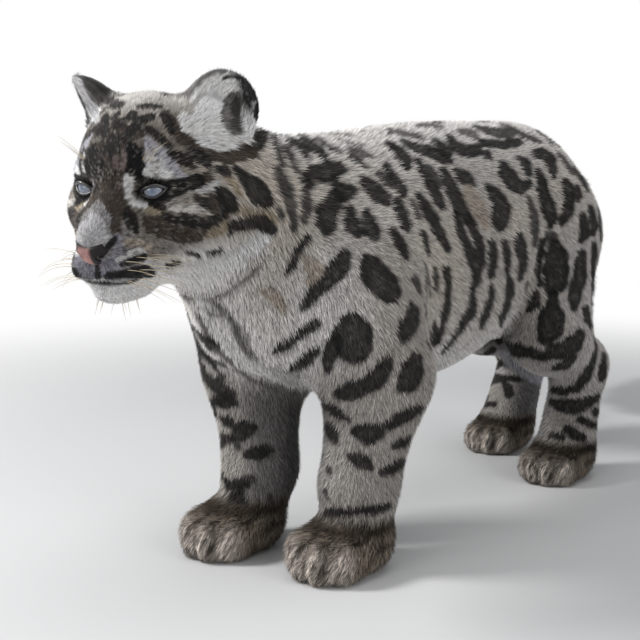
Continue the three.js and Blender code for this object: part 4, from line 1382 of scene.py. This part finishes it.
def eyeball(side):
    out = SIDES[side]
    at, turn = EYE_AT * vec(out, 1, 1), turned(18 * out, 0, 0)
    spin = np.arange(EYE_SIDES) * 2 * math.pi / EYE_SIDES
    fibre = 1 + 0.09 * np.sin(spin * 23 + 3 * np.sin(spin * 5)) + 0.05 * np.sin(spin * 41)
    rings, tones = [], []
    for i in range(1, EYE_RINGS):
        polar = math.pi * (i / EYE_RINGS) ** 1.25
        spread = EYE_RADIUS * math.sin(polar)
        bulge = BULGE * math.exp(-((spread / 8.5) ** 4)) * (polar < math.pi / 2)
        depth = np.full(EYE_SIDES, -EYE_RADIUS * math.cos(polar) - bulge)
        rings.append(np.stack([spread * np.cos(spin), depth, spread * np.sin(spin)], 1))
        t = spread / IRIS_RADIUS if polar < math.pi / 2 else 9
        pupil, outer, edge = (smooth(t, low, high) for low, high in ((0.16, 0.34), (0.35, 0.8), (0.86, 1.02)))
        core = vec(0.09, 0.11, 0.16) * (1 - pupil) + vec(0.15, 0.18, 0.24) * pupil
        core = core + (vec(0.225, 0.245, 0.285) - core) * outer
        # The iris darkens toward its top: painted shadow of the upper lid
        shade = 1 - 0.45 * smooth(spread * np.sin(spin), 0.5, 5.5)[:, None]
        tones.append((core * fibre[:, None] * shade) * (1 - edge) + vec(0.022, 0.018, 0.018) * edge)
    ball = np.concatenate([[[0, -EYE_RADIUS - BULGE, 0]], *rings, [[0, EYE_RADIUS, 0]]])
    tones = np.concatenate([[[0.1, 0.12, 0.17]], *tones, [[0.02, 0.018, 0.018]]])
    faces, last = [], len(ball) - 1
    for k in range(EYE_SIDES):
        n = (k + 1) % EYE_SIDES
        faces.append((0, 1 + k, 1 + n))
        for low in range(1, last - EYE_SIDES, EYE_SIDES):
            faces.append((low + k, low + EYE_SIDES + k, low + EYE_SIDES + n, low + n))
        faces.append((last - EYE_SIDES + n, last - EYE_SIDES + k, last))
    return from_head(ball @ turn.T + at), faces, tones


EYE = painted("eye", 0.1, 900.0, 0.1)
set_sockets(EYE.node_tree.nodes["Principled BSDF"], Coat_Weight=1.0, Coat_Roughness=0.03)
eyes = {side: mesh_object("iris_" + side, *eyeball(side)) for side in EARS}
for piece in eyes.values():
    piece.data.materials.append(EYE)


# Tubes, for lid rims and whiskers
def tube(path, radii, sides=6, closed=False):
    ahead = np.roll(path, -1, 0) - np.roll(path, 1, 0)
    if not closed:
        ahead[0], ahead[-1] = path[1] - path[0], path[-1] - path[-2]
    ahead = unit(ahead)
    across = unit(np.cross(ahead, vec(0.21, 0.35, 0.91)))
    over = np.cross(ahead, across)
    spin = np.arange(sides) * 2 * math.pi / sides
    ring = across[:, None] * np.cos(spin)[None, :, None] + over[:, None] * np.sin(spin)[None, :, None]
    points = (path[:, None] + ring * radii[:, None, None]).reshape(-1, 3)
    faces = []
    for i in range(len(path) if closed else len(path) - 1):
        low, high = i * sides, ((i + 1) % len(path)) * sides
        for k in range(sides):
            n = (k + 1) % sides
            faces.append((low + k, low + n, high + n, high + k))
    if not closed:
        faces.append(tuple(range(sides))[::-1])
        faces.append(tuple(range(len(points) - sides, len(points))))
    return points, faces


def strands(name, shapes, material):
    faces, n = [], 0
    for shape_points, shape_faces in shapes:
        faces += [tuple(n + k for k in face) for face in shape_faces]
        n += len(shape_points)
    piece = mesh_object(name, np.concatenate([shape[0] for shape in shapes]), faces)
    piece.data.materials.append(material)
    return piece


LID = toned("lid", (0.01, 0.009, 0.009), (0.03, 0.026, 0.025), 500.0, 0.38, 0.0004, 0.3)
WHISKER = toned("whisker", (0.36, 0.29, 0.19), (0.6, 0.52, 0.38), 60.0, 0.35)
HORN = toned("horn", (0.1, 0.09, 0.08), (0.26, 0.24, 0.21), 220.0, 0.35, 0.0003)


def lid_rim(out):
    spin = np.linspace(0, 2 * math.pi, 72, endpoint=False)
    x = (LID_HALF - 0.1) * np.cos(spin)
    arch = np.maximum(1 - (x / LID_HALF) ** 2, 0)
    z = np.where(np.sin(spin) >= 0, LID_ABOVE, -LID_BELOW) * arch + LID_SLOPE * x
    y = -np.sqrt((EYE_RADIUS + 1.3) ** 2 - x**2 - z**2)
    points, faces = tube(np.stack([x, y, z], 1), 1.35 + 0.55 * (np.sin(spin) > 0), 8, closed=True)
    place = points @ EYE_TURN.T + EYE_AT
    if out < 0:
        place, faces = place * FLIP, [face[::-1] for face in faces]
    return from_head(place), faces


lids = strands("lid_rims", [lid_rim(1), lid_rim(-1)], LID)


# Nose pad: a shield of bare leather with two nostrils
def nose_field(q):
    m = mirrored(q)
    wing = 1.4 * hump(m[:, 0] - 9, 5) * hump(m[:, 2] + 64, 7)
    d = carve(head_field(from_head(q)) - 0.6 - wing, -nose_outline(m), 5)
    nostril = ellipsoid((m - vec(11.5, -73, -62)) @ turned(30, 0, 0), (0, 0, 0), (3.6, 9, 2.9))
    d = carve(np.maximum(d, nose_outline(m)), nostril, 2)
    return d + 1.2 * hump(m[:, 0], 1.3) * (m[:, 2] < -60)


NOSE_STEPS = steps((-22, 22, 0.7)), steps((-100, -56, 0.8)), steps((-78, -45, 0.7))
nose_points, nose_quads = nets(nose_field, *NOSE_STEPS)
nose_points = settle(nose_field, nose_points, 1, 0.5)
m = mirrored(nose_points)
# Pink only on the pad's half toward the light, the other half left dark as painted shade, and brighter lower
# down; the nostrils get painted shade in their hollows
pink_on_lit_half = (1 - smooth(m[:, 0], 9, 15)) * smooth(-m[:, 2], 49, 55) * (1 - smooth(nose_points[:, 0], -1, 5))
pit = hump(norm((m - vec(11.5, -78, -62)) * vec(1, 0.4, 1.2)), 5)
nose_tones = layered(
    vec(0.018, 0.014, 0.015), ((0.47, 0.262, 0.24), pink_on_lit_half * (0.75 + 0.25 * smooth(-m[:, 2], 56, 64))),
    ((0.012, 0.01, 0.01), pit),
)
nose = mesh_object("nose_pad", from_head(nose_points), nose_quads, nose_tones)
nose.data.materials.append(painted("nose_leather", 0.45, 1400.0, 0.3, bumpy=0.0006))

# Whiskers: rows on each pad by height and number, then brow hairs and chin hairs
WHISKER_ROWS = ((-70, 4), (-78, 5), (-86, 5), (-93, 3))
BROW_HAIRS, CHIN_HAIRS, HAIR_RADIUS = 3, 5, 0.41


def whisker(start, way, size, sag):
    root = settle(skin_field, from_head(start[None]), 5, 8.0)[0]
    t = np.linspace(0, 1, 11)[:, None]
    path = root + HEAD_TURN @ unit(way[None])[0] * size * t + sag * t * t
    return tube(path, HAIR_RADIUS * (1 - 0.82 * t[:, 0]), 5)


def whiskers():
    made = []
    for out in (1, -1):
        for height, number in WHISKER_ROWS:
            for i in range(number):
                start = vec((27 + 4.2 * i) * out, -52 + 10.5 * i, height + RNG.normal(0, 1.2))
                spread, rise = out * RNG.uniform(0.75, 1.0), (height + 80) / 34 * 0.2
                way = vec(spread, 0.02 + 0.14 * i, rise + RNG.normal(-0.04, 0.08))
                size = RNG.uniform(32, 66)
                droop = vec(0, RNG.uniform(6, 18), RNG.uniform(-20, -8))
                made.append(whisker(start, way, size, HEAD_TURN @ droop))
        for i in range(BROW_HAIRS):
            start, way = vec((30 + 5 * i) * out, -8, 24), vec(0.45 * out, -0.5, 0.75)
            made.append(whisker(start, way, RNG.uniform(30, 45), HEAD_TURN @ vec(6 * out, 12, -8)))
        for i in range(CHIN_HAIRS):
            start, way = vec(RNG.uniform(4, 26) * out, -44 + 7 * i, -116), vec(0.25 * out, -0.35, -0.9)
            made.append(whisker(start, way, RNG.uniform(9, 20), vec(0, 2, 0)))
    return made


hairs = strands("whiskers", whiskers(), WHISKER)

for name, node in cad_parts.items():
    if name.startswith("claw"):
        node.data.materials.clear()
        node.data.materials.append(HORN)

# The new pieces stand for the solids of flesh, eyes and nose, and all ride on the one body
FLESH = [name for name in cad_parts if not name.startswith(("claw", "eye", "nose"))]
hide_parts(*FLESH)
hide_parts("nose")
for side in EARS:
    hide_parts("eye_" + side)
for piece in [skin, nose, lids, hairs, *eyes.values(), *coats]:
    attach(piece, "root")

# Pale floor that fades to white, white surroundings and soft studio lights
FLOOR_HALF, FLOOR_GREY, FADE_FROM, FADE_TO = 14, 0.56, 0.7, 2.2
floor_mesh = bpy.data.meshes.new("floor")
floor_mesh.from_pydata(
    [(x * FLOOR_HALF, y * FLOOR_HALF, 0) for x, y in ((-1, -1), (1, -1), (1, 1), (-1, 1))], [], [(0, 1, 2, 3)]
)
floor = bpy.data.objects.new("floor", floor_mesh)
bpy.context.scene.collection.objects.link(floor)
made, nodes, links, shader = material("floor")
set_sockets(shader, Base_Color=(*[FLOOR_GREY] * 3, 1), Roughness=0.55)
place, distance, fade, glow, both = add(
    nodes, "TexCoord", "VectorMath", "MapRange", "Emission", "MixShader"
)
distance.operation, fade.interpolation_type = "LENGTH", "SMOOTHSTEP"
set_sockets(fade, From_Min=FADE_FROM, From_Max=FADE_TO)
wire(
    links, (place, "Object", distance, 0), (distance, "Value", fade, "Value"), (fade, "Result", both, "Fac"),
    (shader, "BSDF", both, 1), (glow, "Emission", both, 2),
    (both, "Shader", nodes["Material Output"], "Surface"),
)
floor_mesh.materials.append(made)

world = bpy.data.worlds.new("studio")
world.use_nodes = True
bpy.context.scene.world = world
nodes, links = world.node_tree.nodes, world.node_tree.links
seen = nodes["Background"]
lit, path, pick = add(nodes, "Background", "LightPath", "MixShader")
set_sockets(seen, Color=(1, 1, 1, 1), Strength=1.0)
set_sockets(lit, Color=(0.93, 0.96, 1, 1), Strength=0.31)
wire(
    links, (path, "Is Camera Ray", pick, "Fac"), (lit, "Background", pick, 1),
    (seen, "Background", pick, 2), (pick, "Shader", nodes["World Output"], "Surface"),
)

LIGHTS_AIM = vec(0, -0.3, 0.3)


def softbox(name, azimuth, elevation, far, size, power):
    data = bpy.data.lights.new(name, "AREA")
    data.energy, data.size = power, size
    lamp = bpy.data.objects.new(name, data)
    a, e = math.radians(azimuth), math.radians(elevation)
    away = vec(math.sin(a) * math.cos(e), -math.cos(a) * math.cos(e), math.sin(e))
    lamp.location, lamp.rotation_mode = (LIGHTS_AIM + away * far).tolist(), "QUATERNION"
    lamp.rotation_quaternion = Vector((-away).tolist()).to_track_quat("-Z", "Y")
    bpy.context.scene.collection.objects.link(lamp)


softbox("key", -44, 36, 3.2, 0.8, 112)
softbox("front", -4, 5, 3.4, 1.6, 33)
softbox("top", 40, 80, 3.0, 2.2, 38)
softbox("fill", 84, 20, 3.5, 2.0, 38)
